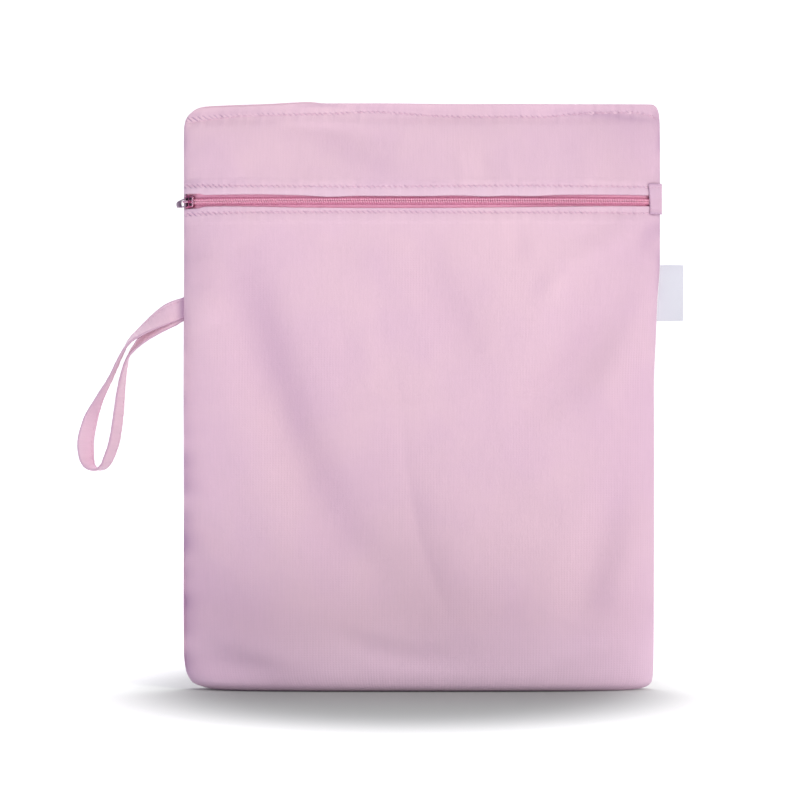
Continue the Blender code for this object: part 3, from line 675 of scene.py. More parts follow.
class Mesher:
    """Turns grids and outlines of millimetre points into finished objects in metres."""

    @staticmethod
    def object_of(name: str, points: np.ndarray, faces: list[tuple[int, ...]],
                  finish: bpy.types.Material, uvs: np.ndarray | None = None,
                  sharp: float = 50.0) -> bpy.types.Object:
        """Make an object from points and faces.

        Args:
            name: Name of the object and its mesh.
            points: Points in millimetres.
            faces: Corners of each face.
            finish: Material of the whole object.
            uvs: Map coordinates of each point in metres, if the piece has a map.
            sharp: Angle in degrees above which an edge stays sharp.

        Returns:
            The new object, linked to the scene.
        """
        data = bpy.data.meshes.new(name)
        data.from_pydata((np.asarray(points) * MM).tolist(), [], faces)
        if uvs is not None:
            layer = data.uv_layers.new(name=UV_NAME)
            corners = np.zeros(len(data.loops), dtype=np.int32)
            data.loops.foreach_get("vertex_index", corners)
            layer.data.foreach_set("uv", uvs[corners].astype(np.float32).ravel())
        mesh = bmesh.new()
        mesh.from_mesh(data)
        return Mesher.finished(mesh, data, finish, sharp)

    @staticmethod
    def finished(mesh: bmesh.types.BMesh, data: bpy.types.Mesh, finish: bpy.types.Material,
                 sharp: float) -> bpy.types.Object:
        """Turn a bmesh's faces outwards, write it into its mesh and make the object.

        Args:
            mesh: Shape in metres, freed here.
            data: Mesh that takes it, under the object's name.
            finish: Material of the whole object.
            sharp: Angle in degrees above which an edge stays sharp.

        Returns:
            The new object, linked to the scene.
        """
        bmesh.ops.recalc_face_normals(mesh, faces=mesh.faces)
        mesh.to_mesh(data)
        mesh.free()
        data.shade_smooth()
        data.set_sharp_from_angle(angle=math.radians(sharp))
        data.materials.append(finish)
        return linked(data.name, data)

    @staticmethod
    def sheet_faces(rows: int, columns: int, high: int = 0,
                    low: int = 0) -> list[tuple[int, ...]]:
        """Faces of a sheet whose rows run round it as a ring, with both ends shut.

        Args:
            rows: Rows of its outer face, and as many of its inner face.
            columns: Points of each row.
            high: Rows that round its last edge.
            low: Rows that round its first edge.

        Returns:
            Corners of each face.
        """
        count = 2 * rows + high + low
        number = np.arange(count * columns).reshape(count, columns)
        after = np.roll(number, -1, axis=0)
        quads = np.stack((number[:, :-1], number[:, 1:], after[:, 1:], after[:, :-1]), axis=-1)
        faces = [tuple(quad) for quad in quads.reshape(-1, 4).tolist()]
        back = count - low - 1
        for end in number[:, [0, -1]].T.tolist():
            for row in range(rows - 1):
                faces.append((end[row], end[row + 1], end[back - row - 1], end[back - row]))
            if high:
                faces.append(tuple(end[rows - 1:rows + high + 1]))
            if low:
                faces.append((*end[back:], end[0]))
        return faces

    @staticmethod
    def edge_arc(outer: np.ndarray, inner: np.ndarray, way: np.ndarray,
                 steps: int = 3) -> list[np.ndarray]:
        """Rows that round a cloth's edge from its outer face to its inner face.

        Args:
            outer: Last row of the outer face.
            inner: Last row of the inner face.
            way: Direction of the cloth past its edge, for each point of the row.
            steps: How many rows to add.

        Returns:
            The rows in order.
        """
        middle, arm = (outer + inner) / 2, (outer - inner) / 2
        reach = np.linalg.norm(arm, axis=1, keepdims=True)
        way = way / np.maximum(1e-9, np.linalg.norm(way, axis=1, keepdims=True))
        angles = [math.pi * (step + 1) / (steps + 1) for step in range(steps)]
        return [middle + arm * math.cos(angle) + way * reach * math.sin(angle) * 0.85
                for angle in angles]

    @classmethod
    def cloth_piece(cls, name: str, outer: np.ndarray, inner: np.ndarray,
                    finish: bpy.types.Material, round_low: bool = False,
                    round_high: bool = False) -> bpy.types.Object:
        """A closed sheet between two grids, with rounded or plain edges.

        Args:
            name: Name of the object.
            outer: Rows of the outer face.
            inner: Rows of the inner face.
            finish: Material of the sheet.
            round_low: Whether the first row's edge is a rounded fold.
            round_high: Whether the last row's edge is a rounded fold.

        Returns:
            The finished object.
        """
        high = cls.edge_arc(outer[-1], inner[-1], outer[-1] - outer[-2]) if round_high else []
        low = cls.edge_arc(outer[0], inner[0], outer[0] - outer[1]) if round_low else []
        grid = np.array([*outer, *high, *inner[::-1], *low[::-1]])
        faces = cls.sheet_faces(*outer.shape[:2], len(high), len(low))
        return cls.object_of(name, grid.reshape(-1, 3), faces, finish, cls.grid_map(grid))

    @staticmethod
    def grid_map(grid: np.ndarray) -> np.ndarray:
        """Map coordinates that follow a grid's length in both ways.

        Args:
            grid: Rows of points in millimetres.

        Returns:
            One pair in metres for each point.
        """
        across = np.linalg.norm(np.diff(grid, axis=1), axis=2)
        middle_row = np.concatenate(([0.0], np.cumsum(across.mean(axis=0))))
        along = np.linalg.norm(np.diff(grid, axis=0), axis=2).mean(axis=1)
        down = np.concatenate(([0.0], np.cumsum(along)))
        v, u = np.meshgrid(down, middle_row - middle_row[-1] / 2, indexing="ij")
        return np.stack((u, v), axis=-1).reshape(-1, 2) * MM

    @staticmethod
    def prism(outline: Sequence[Place], low: float, high: float,
              place: Callable[[Place, float], Triple],
              bevel: float, segments: int = 2) -> bmesh.types.BMesh:
        """A prism with softened edges.

        Args:
            outline: Points of the prism's outline.
            low: Level of its lower face.
            high: Level of its upper face.
            place: Turns an outline point and a level into coordinates.
            bevel: Width of the softened edges.
            segments: Steps across a softened edge.

        Returns:
            The prism as a bmesh in millimetres.
        """
        mesh = bmesh.new()
        bottom = [mesh.verts.new(place(point, low)) for point in outline]
        top = [mesh.verts.new(place(point, high)) for point in outline]
        mesh.faces.new(bottom)
        mesh.faces.new(top)
        for index in range(len(outline)):
            after = (index + 1) % len(outline)
            mesh.faces.new((bottom[index], bottom[after], top[after], top[index]))
        bmesh.ops.recalc_face_normals(mesh, faces=mesh.faces)
        if bevel > 0.0:
            bmesh.ops.bevel(mesh, geom=list(mesh.edges), offset=bevel, segments=segments,
                            profile=0.6, affect="EDGES", clamp_overlap=True)
        bmesh.ops.triangulate(mesh, faces=[face for face in mesh.faces if len(face.verts) > 4])
        return mesh

    @staticmethod
    def joined(name: str, parts: Sequence[bmesh.types.BMesh], frame: Matrix,
               finish: bpy.types.Material, sharp: float = 35.0) -> bpy.types.Object:
        """One object from several closed parts.

        Args:
            name: Name of the object.
            parts: Parts in millimetres, freed here.
            frame: Where the parts' own frame lies, in millimetres.
            finish: Material of the object.
            sharp: Angle in degrees above which an edge stays sharp.

        Returns:
            The finished object.
        """
        whole = bmesh.new()
        for part in parts:
            data = bpy.data.meshes.new("part")
            part.to_mesh(data)
            part.free()
            whole.from_mesh(data)
            bpy.data.meshes.remove(data)
        bmesh.ops.transform(whole, matrix=Matrix.Scale(MM, 4) @ frame, verts=whole.verts)
        return Mesher.finished(whole, bpy.data.meshes.new(name), finish, sharp)


class NodeBoard:
    """Adds and links the nodes of one tree, from left to right."""

    def __init__(self, tree: bpy.types.NodeTree) -> None:
        """Start on a tree, emptied first."""
        self.tree = tree
        tree.nodes.clear()
        self.column = 0

    def fill(self, node: bpy.types.Node, **inputs: object) -> None:
        """Fill or link a node's inputs.

        Args:
            node: The node.
            **inputs: Values or output sockets by input name, with _ for a space, or by number
                as i0, i1 and so on.
        """
        for name, value in inputs.items():
            numbered = name[0] == "i" and name[1:].isdigit()
            socket = node.inputs[int(name[1:]) if numbered else name.replace("_", " ")]
            if isinstance(value, bpy.types.NodeSocket):
                self.tree.links.new(value, socket)
            else:
                socket.default_value = value

    def add(self, kind: str, settings: dict[str, object] | None = None,
            **inputs: object) -> bpy.types.Node:
        """Add a node, set its properties, and fill or link its inputs.

        Args:
            kind: Blender's name of the node type.
            settings: Properties of the node.
            **inputs: Inputs as for fill.

        Returns:
            The new node.
        """
        node = self.tree.nodes.new(kind)
        node.location = (self.column * 190.0, -120.0 * (self.column % 3))
        self.column += 1
        for name, value in (settings or {}).items():
            setattr(node, name, value)
        self.fill(node, **inputs)
        return node

    def math(self, operation: str, first: object, second: object = 0.0) -> bpy.types.NodeSocket:
        """Add a Math node and give its result."""
        node = self.add("ShaderNodeMath", {"operation": operation}, i0=first, i1=second)
        return node.outputs[0]

    def times(self, first: object, second: object) -> bpy.types.NodeSocket:
        """Multiply two values and give the result."""
        return self.math("MULTIPLY", first, second)

    def plus(self, first: object, second: object) -> bpy.types.NodeSocket:
        """Add two values and give the result."""
        return self.math("ADD", first, second)

    def apart(self, vector: bpy.types.NodeSocket) -> bpy.types.NodeOutputs:
        """Take a vector apart and give its three values."""
        return self.add("ShaderNodeSeparateXYZ", None, Vector=vector).outputs

    def between(self, value: object, low: float, high: float, first: float,
                last: float) -> bpy.types.NodeSocket:
        """Map a value from one range to another and give the result."""
        node = self.add("ShaderNodeMapRange", {"interpolation_type": "SMOOTHSTEP"}, Value=value,
                        From_Min=low, From_Max=high, To_Min=first, To_Max=last)
        return node.outputs["Result"]

    def mixed(self, share: object, first: object, second: object) -> bpy.types.NodeSocket:
        """Mix two colours and give the result."""
        node = self.add("ShaderNodeMix", {"data_type": "RGBA"}, i0=share, i6=first, i7=second)
        return node.outputs[2]

    def noise(self, vector: bpy.types.NodeSocket, scale: float, detail: float = 3.0,
              roughness: float = 0.5) -> bpy.types.NodeSocket:
        """Add a noise texture and give its value."""
        node = self.add("ShaderNodeTexNoise", None, Vector=vector, Scale=scale, Detail=detail,
                        Roughness=roughness)
        return node.outputs["Fac"]


VECTOR_SOCKET = "NodeSocketVector"
FLOAT_SOCKET = "NodeSocketFloat"
COLOUR_SOCKET = "NodeSocketColor"


def new_group(name: str, kind: str, inputs: dict[str, float | str],
              outputs: dict[str, str]) -> bpy.types.NodeTree:
    """Make an empty node group with named sockets.

    Args:
        name: Name of the group.
        kind: Kind of tree.
        inputs: Kind of each input socket, or the first value of a number.
        outputs: Kind of each output socket.

    Returns:
        The group.
    """
    tree = bpy.data.node_groups.new(name, kind)
    for way, sockets in (("INPUT", inputs), ("OUTPUT", outputs)):
        for label, value in sockets.items():
            number = isinstance(value, float)
            made = tree.interface.new_socket(name=label, in_out=way,
                                             socket_type=FLOAT_SOCKET if number else value)
            if number:
                made.default_value = value
    return tree


class SharedEffects:
    """Shader groups that more than one finish uses, each built once."""

    @staticmethod
    @lru_cache(maxsize=None)
    def knit() -> bpy.types.NodeTree:
        """Rows of fine loops: wales up the cloth and courses across it."""
        tree = new_group("knit_loops", "ShaderNodeTree",
                         {"Vector": VECTOR_SOCKET, "Wales": 300.0, "Courses": 380.0,
                          "Unevenness": 0.4}, {"Height": FLOAT_SOCKET, "Yarn": FLOAT_SOCKET})
        board = NodeBoard(tree)
        source = board.add("NodeGroupInput").outputs
        drift = board.noise(source["Vector"], 90.0, 2.0)
        apart = board.apart(source["Vector"])
        turn = 2.0 * math.pi
        wale = board.plus(board.times(apart[0], source["Wales"]),
                          board.times(drift, source["Unevenness"]))
        wale = board.math("SINE", board.times(wale, turn))
        course = board.plus(board.times(apart[1], source["Courses"]), board.times(wale, 0.12))
        course = board.math("SINE", board.times(course, turn))
        height = board.times(board.times(board.plus(wale, 1.0), board.plus(course, 1.6)), 0.2)
        fuzz = board.noise(source["Vector"], 2600.0, 2.0)
        relief = board.times(board.plus(height, fuzz), 0.6)
        board.add("NodeGroupOutput", None, Height=relief, Yarn=height)
        return tree

    @staticmethod
    @lru_cache(maxsize=None)
    def cloudy_tone() -> bpy.types.NodeTree:
        """Slow change of tone over a surface, with a little dust settled in patches."""
        tree = new_group("cloudy_tone", "ShaderNodeTree",
                         {"Vector": VECTOR_SOCKET, "Colour": COLOUR_SOCKET,
                          "Shade": COLOUR_SOCKET, "Dust": COLOUR_SOCKET, "Cloud": 0.3,
                          "Dust Amount": 0.1}, {"Colour": COLOUR_SOCKET, "Mask": FLOAT_SOCKET})
        board = NodeBoard(tree)
        source = board.add("NodeGroupInput").outputs
        slow = board.noise(source["Vector"], 14.0, 3.0, 0.55)
        cloud = board.times(board.between(slow, 0.35, 0.68, 0.0, 1.0), source["Cloud"])
        toned = board.mixed(cloud, source["Colour"], source["Shade"])
        fine = board.noise(source["Vector"], 620.0, 4.0, 0.7)
        patch = board.noise(source["Vector"], 38.0, 2.0, 0.5)
        settled = board.times(board.between(fine, 0.55, 0.75, 0.0, 1.0),
                              board.between(patch, 0.4, 0.7, 0.15, 1.0))
        colour = board.mixed(board.times(settled, source["Dust Amount"]), toned, source["Dust"])
        board.add("NodeGroupOutput", None, Colour=colour, Mask=cloud)
        return tree

    @staticmethod
    @lru_cache(maxsize=None)
    def handled_metal() -> bpy.types.NodeTree:
        """Fine scratches and handled patches of a small metal part."""
        tree = new_group("handled_metal", "ShaderNodeTree",
                         {"Vector": VECTOR_SOCKET, "Colour": COLOUR_SOCKET,
                          "Worn Colour": COLOUR_SOCKET, "Wear": 0.3, "Roughness": 0.25},
                         {"Colour": COLOUR_SOCKET, "Roughness": FLOAT_SOCKET,
                          "Height": FLOAT_SOCKET})
        board = NodeBoard(tree)
        source = board.add("NodeGroupInput").outputs
        stretched = board.add("ShaderNodeMapping", None, Vector=source["Vector"],
                              Rotation=(0.3, 0.5, 0.7), Scale=(1.0, 9.0, 1.0))
        scratches = board.noise(stretched.outputs[0], 900.0, 3.0, 0.6)
        patches = board.noise(source["Vector"], 420.0, 3.0, 0.55)
        worn = board.times(board.between(patches, 0.48, 0.66, 0.0, 1.0), source["Wear"])
        colour = board.mixed(worn, source["Colour"], source["Worn Colour"])
        rough = board.plus(source["Roughness"],
                           board.times(board.math("SUBTRACT", scratches, 0.5), 0.35))
        board.add("NodeGroupOutput", None, Colour=colour, Height=scratches,
                  Roughness=board.math("MAXIMUM", rough, 0.08))
        return tree


class Finish:
    """Base of every finish: starts a material and its Principled shader."""

    @staticmethod
    def start(name: str) -> tuple[bpy.types.Material, NodeBoard, bpy.types.Node,
                                  bpy.types.NodeOutputs]:
        """Make a material with a Principled shader and an output.

        Args:
            name: Name of the material.

        Returns:
            The material, its board, its shader and its texture coordinates.
        """
        material = bpy.data.materials.new(name)
        material.use_nodes = True
        board = NodeBoard(material.node_tree)
        shader = board.add("ShaderNodeBsdfPrincipled")
        board.add("ShaderNodeOutputMaterial", None, Surface=shader.outputs[0])
        return material, board, shader, board.add("ShaderNodeTexCoord").outputs

    @staticmethod
    def group(board: NodeBoard, tree: bpy.types.NodeTree,
              **inputs: object) -> bpy.types.NodeOutputs:
        """Place a shared group in a material with its own values."""
        return board.add("ShaderNodeGroup", {"node_tree": tree}, **inputs).outputs

    @staticmethod
    def marks(board: NodeBoard) -> bpy.types.NodeOutputs:
        """The three numbers that a piece keeps for each point."""
        stored = board.add("ShaderNodeAttribute", {"attribute_name": MARKS_NAME})
        return board.apart(stored.outputs["Vector"])

    @staticmethod
    def bump(board: NodeBoard, shader: bpy.types.Node, height: bpy.types.NodeSocket,
             distance: float, strength: float) -> None:
        """Feed the shader's normal from a height.

        Args:
            board: Board of the material.
            shader: Its Principled shader.
            height: Height socket.
            distance: Depth of the relief in metres.
            strength: Share of it that shows.
        """
        node = board.add("ShaderNodeBump", None, Height=height, Distance=distance,
                         Strength=strength)
        board.fill(shader, Normal=node.outputs[0])


@dataclass(frozen=True)
class WovenFinish(Finish):
    """Woven tape or ribbon of fine yarns in two slowly changing tones."""

    name: str
    colour: Colour
    shade: Colour
    dust: Colour
    wales: float
    courses: float
    unevenness: float
    cloud: float
    roughness: Place
    sheen: float
    relief: Place
    dust_amount: float = 0.12

    def weave(self, board: NodeBoard,
              place: bpy.types.NodeOutputs) -> tuple[bpy.types.NodeOutputs, bpy.types.NodeOutputs]:
        """Place the shared groups of loops and of tone.

        Args:
            board: Board of the material.
            place: Its texture coordinates.

        Returns:
            The outputs of the loops and of the tone.
        """
        loops = self.group(board, SharedEffects.knit(), Vector=place["UV"], Wales=self.wales,
                           Courses=self.courses, Unevenness=self.unevenness)
        tone = self.group(board, SharedEffects.cloudy_tone(), Vector=place["Object"],
                          Colour=self.colour, Shade=self.shade, Dust=self.dust,
                          Cloud=self.cloud, Dust_Amount=self.dust_amount)
        return loops, tone

    def build(self) -> bpy.types.Material:
        """Make the material."""
        material, board, shader, place = self.start(self.name)
        loops, tone = self.weave(board, place)
        board.fill(shader, Sheen_Weight=self.sheen,
                   Base_Color=board.mixed(board.times(loops["Yarn"], 0.22), tone["Colour"],
                                          self.shade),
                   Roughness=board.between(loops["Yarn"], 0.0, 1.0, *self.roughness))
        self.bump(board, shader, loops["Height"], *self.relief)
        return material


@dataclass(frozen=True)
class ClothFinish(WovenFinish):
    """Laminated knit of the bag: matt, faintly striped, lighter along its hem at the zip."""

    name: str = "bag_cloth"
    colour: Colour = (0.815, 0.57, 0.665, 1.0)
    shade: Colour = (0.745, 0.50, 0.67, 1.0)
    dust: Colour = (0.9, 0.8, 0.86, 1.0)
    wales: float = 520.0
    courses: float = 640.0
    unevenness: float = 0.5
    cloud: float = 0.35
    roughness: Place = (0.66, 0.74)
    sheen: float = 0.25
    relief: Place = (0.00055, 0.6)
    dust_amount: float = 0.10
    edge_colour: Colour = (0.83, 0.60, 0.72, 1.0)
    painted_shade_colour: Colour = (0.47, 0.285, 0.44, 1.0)
    foot_painted_light_colour: Colour = (0.98, 0.71, 0.86, 1.0)
    edge: Place = (0.3385, 0.0048)

    def toned(self, board: NodeBoard, place: bpy.types.NodeOutputs,
              colour: bpy.types.NodeSocket) -> bpy.types.NodeSocket:
        """Lighten the hem of the front, add painted light at the foot and painted shade towards
        the floor.

        Args:
            board: Board of the material.
            place: Its texture coordinates.
            colour: Colour of the plain cloth.

        Returns:
            The new colour.
        """
        apart = board.apart(place["Object"])
        level = apart[2]
        # Lighter colour in patches along the front's hem just above the zip
        away = board.math("ABSOLUTE", board.math("SUBTRACT", level, self.edge[0]))
        hem_lightening = board.times(board.between(away, self.edge[1] * 0.7, self.edge[1], 1.0, 0.0),
                             board.between(apart[1], -0.004, 0.0, 1.0, 0.0))
        hem_lightening = board.times(hem_lightening, board.between(board.noise(place["Object"], 160.0),
                                                   0.3, 0.7, 0.35, 0.8))
        colour = board.mixed(hem_lightening, colour, self.edge_colour)
        # Painted light: the cloth is lighter at its foot, near the floor
        colour = board.mixed(board.between(level, 0.0, 0.06, 0.95, 0.0), colour,
                             self.foot_painted_light_colour)
        # Painted shade: the cloth darkens towards the floor
        return board.mixed(board.between(level, 0.0, 0.31, 0.2, 0.0), colour,
                           board.mixed(0.6, colour, self.shade))

    def build(self) -> bpy.types.Material:
        """Make the material."""
        material, board, shader, place = self.start(self.name)
        loops, tone = self.weave(board, place)
        colour = self.toned(board, place, tone["Colour"])
        streak = board.add("ShaderNodeMapping", None, Vector=place["UV"],
                           Scale=(1.0, 0.05, 1.0))
        streaks = board.between(board.noise(streak.outputs[0], 900.0, 2.0), 0.35, 0.65,
                                0.988, 1.008)
        # Painted shade: the stitch dimples and the stored painted-shade share darken the colour
        sewn = self.marks(board)
        wave = board.math("SINE", board.times(sewn[1], 2.0 * math.pi))
        tick = board.times(board.between(wave, 0.1, 0.8, 0.0, 1.0),
                           board.between(sewn[0], 0.1, 0.75, 0.0, 1.0))
        tick = board.times(tick, board.between(board.noise(place["Object"], 210.0),
                                               0.35, 0.6, 0.45, 1.0))
        painted_shade_share = board.math("MAXIMUM", board.times(tick, 0.85), board.times(sewn[2], 0.75))
        colour = board.mixed(painted_shade_share, colour, self.painted_shade_colour)
        shaded = board.add("ShaderNodeVectorMath", {"operation": "SCALE"}, i0=colour, i3=streaks)
        board.fill(shader, Base_Color=shaded.outputs[0], Sheen_Weight=self.sheen,
                   Roughness=board.between(tone["Mask"], 0.0, 0.35, *self.roughness),
                   Sheen_Roughness=0.4, Sheen_Tint=(1.0, 0.9, 0.96, 1.0),
                   Specular_IOR_Level=0.32)
        relief = board.math("SUBTRACT", board.times(loops["Height"], 0.3), tick)
        self.bump(board, shader, relief, *self.relief)
        return material


@dataclass(frozen=True)
class ThreadFinish(Finish):
    """Twisted polyester sewing thread."""

    name: str
    colour: Colour
    shade: Colour
    roughness: float = 0.42

    def build(self) -> bpy.types.Material:
        """Make the material."""
        material, board, shader, place = self.start(self.name)
        turned = board.add("ShaderNodeMapping", None, Vector=place["Object"],
                           Rotation=(0.0, 0.6, 0.0))
        twist = board.add("ShaderNodeTexWave", {"bands_direction": "X"},
                          Vector=turned.outputs[0], Scale=900.0, Distortion=0.6,
                          Detail=1.0).outputs["Fac"]
        board.fill(shader, Base_Color=board.mixed(twist, self.shade, self.colour),
                   Roughness=board.between(twist, 0.0, 1.0, self.roughness + 0.1,
                                           self.roughness))
        self.bump(board, shader, twist, 0.00006, 0.6)
        return material


@dataclass(frozen=True)
class CoilFinish(Finish):
    """Glossy dyed nylon of the zip's coil."""

    name: str = "zip_coil"
    colour: Colour = (0.93, 0.47, 0.62, 1.0)
    shade: Colour = (0.80, 0.31, 0.47, 1.0)

    def build(self) -> bpy.types.Material:
        """Make the material."""
        material, board, shader, place = self.start(self.name)
        level = board.apart(place["Object"])[2]
        away = board.math("ABSOLUTE", board.math("SUBTRACT", level, FORM.zip_height * MM))
        root = board.between(away, 0.0008, 0.0018, 0.0, 1.0)
        grain = board.noise(place["Object"], 1800.0, 2.0)
        colour = board.mixed(board.times(root, board.plus(grain, 0.35)), self.colour, self.shade)
        board.fill(shader, Base_Color=colour, Coat_Weight=0.12, Coat_Roughness=0.35,
                   Roughness=board.between(grain, 0.3, 0.7, 0.42, 0.55))
        self.bump(board, shader, grain, 0.00003, 0.4)
        return material


@dataclass(frozen=True)
class MetalFinish(Finish):
    """Lacquered die-cast metal, worn a little where touched, with painted shade and highlight."""

    name: str
    colour: Colour
    # Colour of worn patches; on the slider it is bright enough to serve partly as painted
    # highlight
    worn: Colour
    roughness: float
    wear: float
    painted_recess_shade: Colour = (0.035, 0.008, 0.02, 1.0)
    painted_highlight_colour: Colour = (0.97, 0.60, 0.73, 1.0)

    def build(self) -> bpy.types.Material:
        """Make the material."""
        material, board, shader, place = self.start(self.name)
        handled = self.group(board, SharedEffects.handled_metal(), Vector=place["Object"],
                             Colour=self.colour, Worn_Colour=self.worn, Wear=self.wear,
                             Roughness=self.roughness)
        # Painted shade, near black, on the slider's window plates, and painted highlight on its
        # crown top and rounded end
        cast = self.marks(board)
        colour = board.mixed(cast[2], handled["Colour"], self.painted_recess_shade)
        board.fill(shader, Base_Color=board.mixed(cast[0], colour, self.painted_highlight_colour),
                   Roughness=handled["Roughness"], Metallic=0.85, Coat_Weight=0.5,
                   Coat_Roughness=0.12)
        self.bump(board, shader, handled["Height"], 0.00003, 0.35)
        return material


@dataclass(frozen=True)
class Finishes:
    """Every material of the bag, made once."""

    cloth: bpy.types.Material
    tape: bpy.types.Material
    coil: bpy.types.Material
    thread: bpy.types.Material
    zip_thread: bpy.types.Material
    slider: bpy.types.Material
    pull: bpy.types.Material
    label: bpy.types.Material

    @classmethod
    def make(cls) -> "Finishes":
        """Build all the materials."""
        return cls(
            cloth=ClothFinish().build(),
            tape=WovenFinish("zip_tape", (0.92, 0.44, 0.60, 1.0), (0.76, 0.30, 0.46, 1.0),
                             (0.88, 0.6, 0.7, 1.0), wales=1100.0, courses=1500.0,
                             unevenness=0.2, cloud=0.25, roughness=(0.7, 0.86), sheen=0.2,
                             relief=(0.00018, 0.7)).build(),
            coil=CoilFinish().build(),
            thread=ThreadFinish("sewing_thread", (0.84, 0.58, 0.70, 1.0),
                                (0.66, 0.40, 0.54, 1.0)).build(),
            zip_thread=ThreadFinish("zip_thread", (0.74, 0.24, 0.40, 1.0),
                                    (0.52, 0.12, 0.25, 1.0), 0.5).build(),
            slider=MetalFinish("slider_metal", (0.42, 0.07, 0.19, 1.0),
                               (0.86, 0.46, 0.60, 1.0), 0.22, 0.55).build(),
            pull=MetalFinish("pull_metal", (0.27, 0.17, 0.25, 1.0),
                             (0.44, 0.33, 0.42, 1.0), 0.36, 0.5).build(),
            label=WovenFinish("label_ribbon", (0.75, 0.76, 0.82, 1.0),
                              (0.60, 0.59, 0.70, 1.0), (0.8, 0.7, 0.78, 1.0), wales=2100.0,
                              courses=1300.0, unevenness=0.15, cloud=0.2,
                              roughness=(0.5, 0.68), sheen=0.3,
                              relief=(0.00014, 0.6)).build())


class RowMaker:
    """Rows of one small rounded shape along a path, by Geometry Nodes."""

    INPUTS = {"Path": "NodeSocketGeometry", "Pitch": 0.004, "Along": 0.0015, "Across": 0.0003,
              "Deep": 0.0003, "Lean": 0.0, "Unevenness": 0.06, "Finish": "NodeSocketMaterial"}
    SEED = 7

    @staticmethod
    @lru_cache(maxsize=None)
    def tree(segments: int, rings: int) -> bpy.types.NodeTree:
        """Build the tree that sets a rounded shape at every pitch of a path.

        Args:
            segments: Sides of the rounded shape.
            rings: Rings of the rounded shape.

        Returns:
            The geometry tree.
        """
        group = new_group(f"row_of_{segments}x{rings}", "GeometryNodeTree", RowMaker.INPUTS,
                          {"Row": "NodeSocketGeometry"})
        board = NodeBoard(group)
        source = board.add("NodeGroupInput").outputs
        line = board.add("GeometryNodeMeshToCurve", None, Mesh=source["Path"])
        upright = board.add("GeometryNodeSetCurveNormal", {"mode": "Z_UP"},
                            Curve=line.outputs[0])
        points = board.add("GeometryNodeCurveToPoints", {"mode": "LENGTH"},
                           Curve=upright.outputs[0], Length=source["Pitch"]).outputs
        shape = board.add("GeometryNodeMeshUVSphere", None, Segments=segments, Rings=rings,
                          Radius=1.0)
        size = board.add("ShaderNodeCombineXYZ", None, X=source["Deep"], Y=source["Across"],
                         Z=source["Along"])
        lean = board.add("ShaderNodeCombineXYZ", None, X=source["Lean"])
        sized = board.add("GeometryNodeTransform", None, Geometry=shape.outputs[0],
                          Rotation=lean.outputs[0], Scale=size.outputs[0])
        uneven = board.add("FunctionNodeRandomValue", {"data_type": "FLOAT"},
                           i2=board.math("SUBTRACT", 1.0, source["Unevenness"]),
                           i3=board.plus(1.0, source["Unevenness"]), Seed=RowMaker.SEED)
        placed = board.add("GeometryNodeInstanceOnPoints", None, Points=points["Points"],
                           Instance=sized.outputs[0], Rotation=points["Rotation"],
                           Scale=uneven.outputs[1])
        real = board.add("GeometryNodeRealizeInstances", None, Geometry=placed.outputs[0])
        smooth = board.add("GeometryNodeSetShadeSmooth", None, Geometry=real.outputs[0])
        painted = board.add("GeometryNodeSetMaterial", None, Geometry=smooth.outputs[0],
                            Material=source["Finish"])
        board.add("NodeGroupOutput", None, Row=painted.outputs[0])
        return group

    @classmethod
    def make(cls, name: str, paths: Sequence[np.ndarray], finish: bpy.types.Material,
             segments: int = 8, rings: int = 5, **sizes: float) -> bpy.types.Object:
        """Run the tree on one or more paths and keep the result as a plain mesh.

        Args:
            name: Name of the piece.
            paths: Points of each path in millimetres.
            finish: Material of the row.
            segments: Sides of the rounded shape.
            rings: Rings of the rounded shape.
            **sizes: The tree's inputs by name, in metres and radians.

        Returns:
            The finished object.
        """
        points = np.concatenate(paths) * MM
        edges: list[tuple[int, int]] = []
        start = 0
        for path in paths:
            edges += [(start + index, start + index + 1) for index in range(len(path) - 1)]
            start += len(path)
        data = bpy.data.meshes.new(name)
        data.from_pydata(points.tolist(), edges, [])
        carrier = linked(name, data)
        group = cls.tree(segments, rings)
        modifier = carrier.modifiers.new("row", "NODES")
        modifier.node_group = group
        sockets = {item.name: item.identifier for item in group.interface.items_tree
                   if item.item_type == "SOCKET" and item.in_out == "INPUT"}
        for key, value in sizes.items():
            modifier[sockets[key.replace("_", " ")]] = value
        modifier[sockets["Finish"]] = finish
        graph = bpy.context.evaluated_depsgraph_get()
        made = bpy.data.meshes.new_from_object(carrier.evaluated_get(graph),
                                               preserve_all_data_layers=True, depsgraph=graph)
        carrier.modifiers.clear()
        carrier.data = made
        made.name = name
        if not made.materials:
            made.materials.append(finish)
        bpy.data.meshes.remove(data)
        return carrier


def settle(piece: bpy.types.Object, body: str, nodes: Sequence[str] = ()) -> None:
    """Give a finished piece to its body and the CAD nodes it stands for.

    Args:
        piece: The finished object.
        body: Body that it moves with.
        nodes: CAD nodes that it replaces.
    """
    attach(piece, body)
    if nodes:
        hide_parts(*nodes)
    LOG.info("%s: %d faces, on %s", piece.name, len(piece.data.polygons), body)


def settle_sewn(cloth: bpy.types.Object, stitches: bpy.types.Object, node: str) -> None:
    """Give a cloth and its stitches to the bag.

    Args:
        cloth: The cloth.
        stitches: The stitches that go with it.
        node: CAD node that the cloth replaces.
    """
    settle(cloth, BAG, (node,))
    settle(stitches, BAG)


@dataclass(frozen=True)
class StitchSizes:
    """Sizes of one kind of stitch, in metres."""

    pitch: float = 0.0040
    along: float = 0.00155
    across: float = 0.00034
    deep: float = 0.00030

    def inputs(self) -> dict[str, float]:
        """The sizes under the names of the row's inputs."""
        return {"Pitch": self.pitch, "Along": self.along, "Across": self.across,
                "Deep": self.deep}


FOOT_LEVELS = (0.0, 0.35, 0.7, 1.3, 2.0, 3.2, 4.8, 6.8, 9.0, 12.0)
STITCH_PATH_POINTS = 420
SLIDER_ROOM = 1.1
SLIDER_SIDE = (-146.0, -152.0)


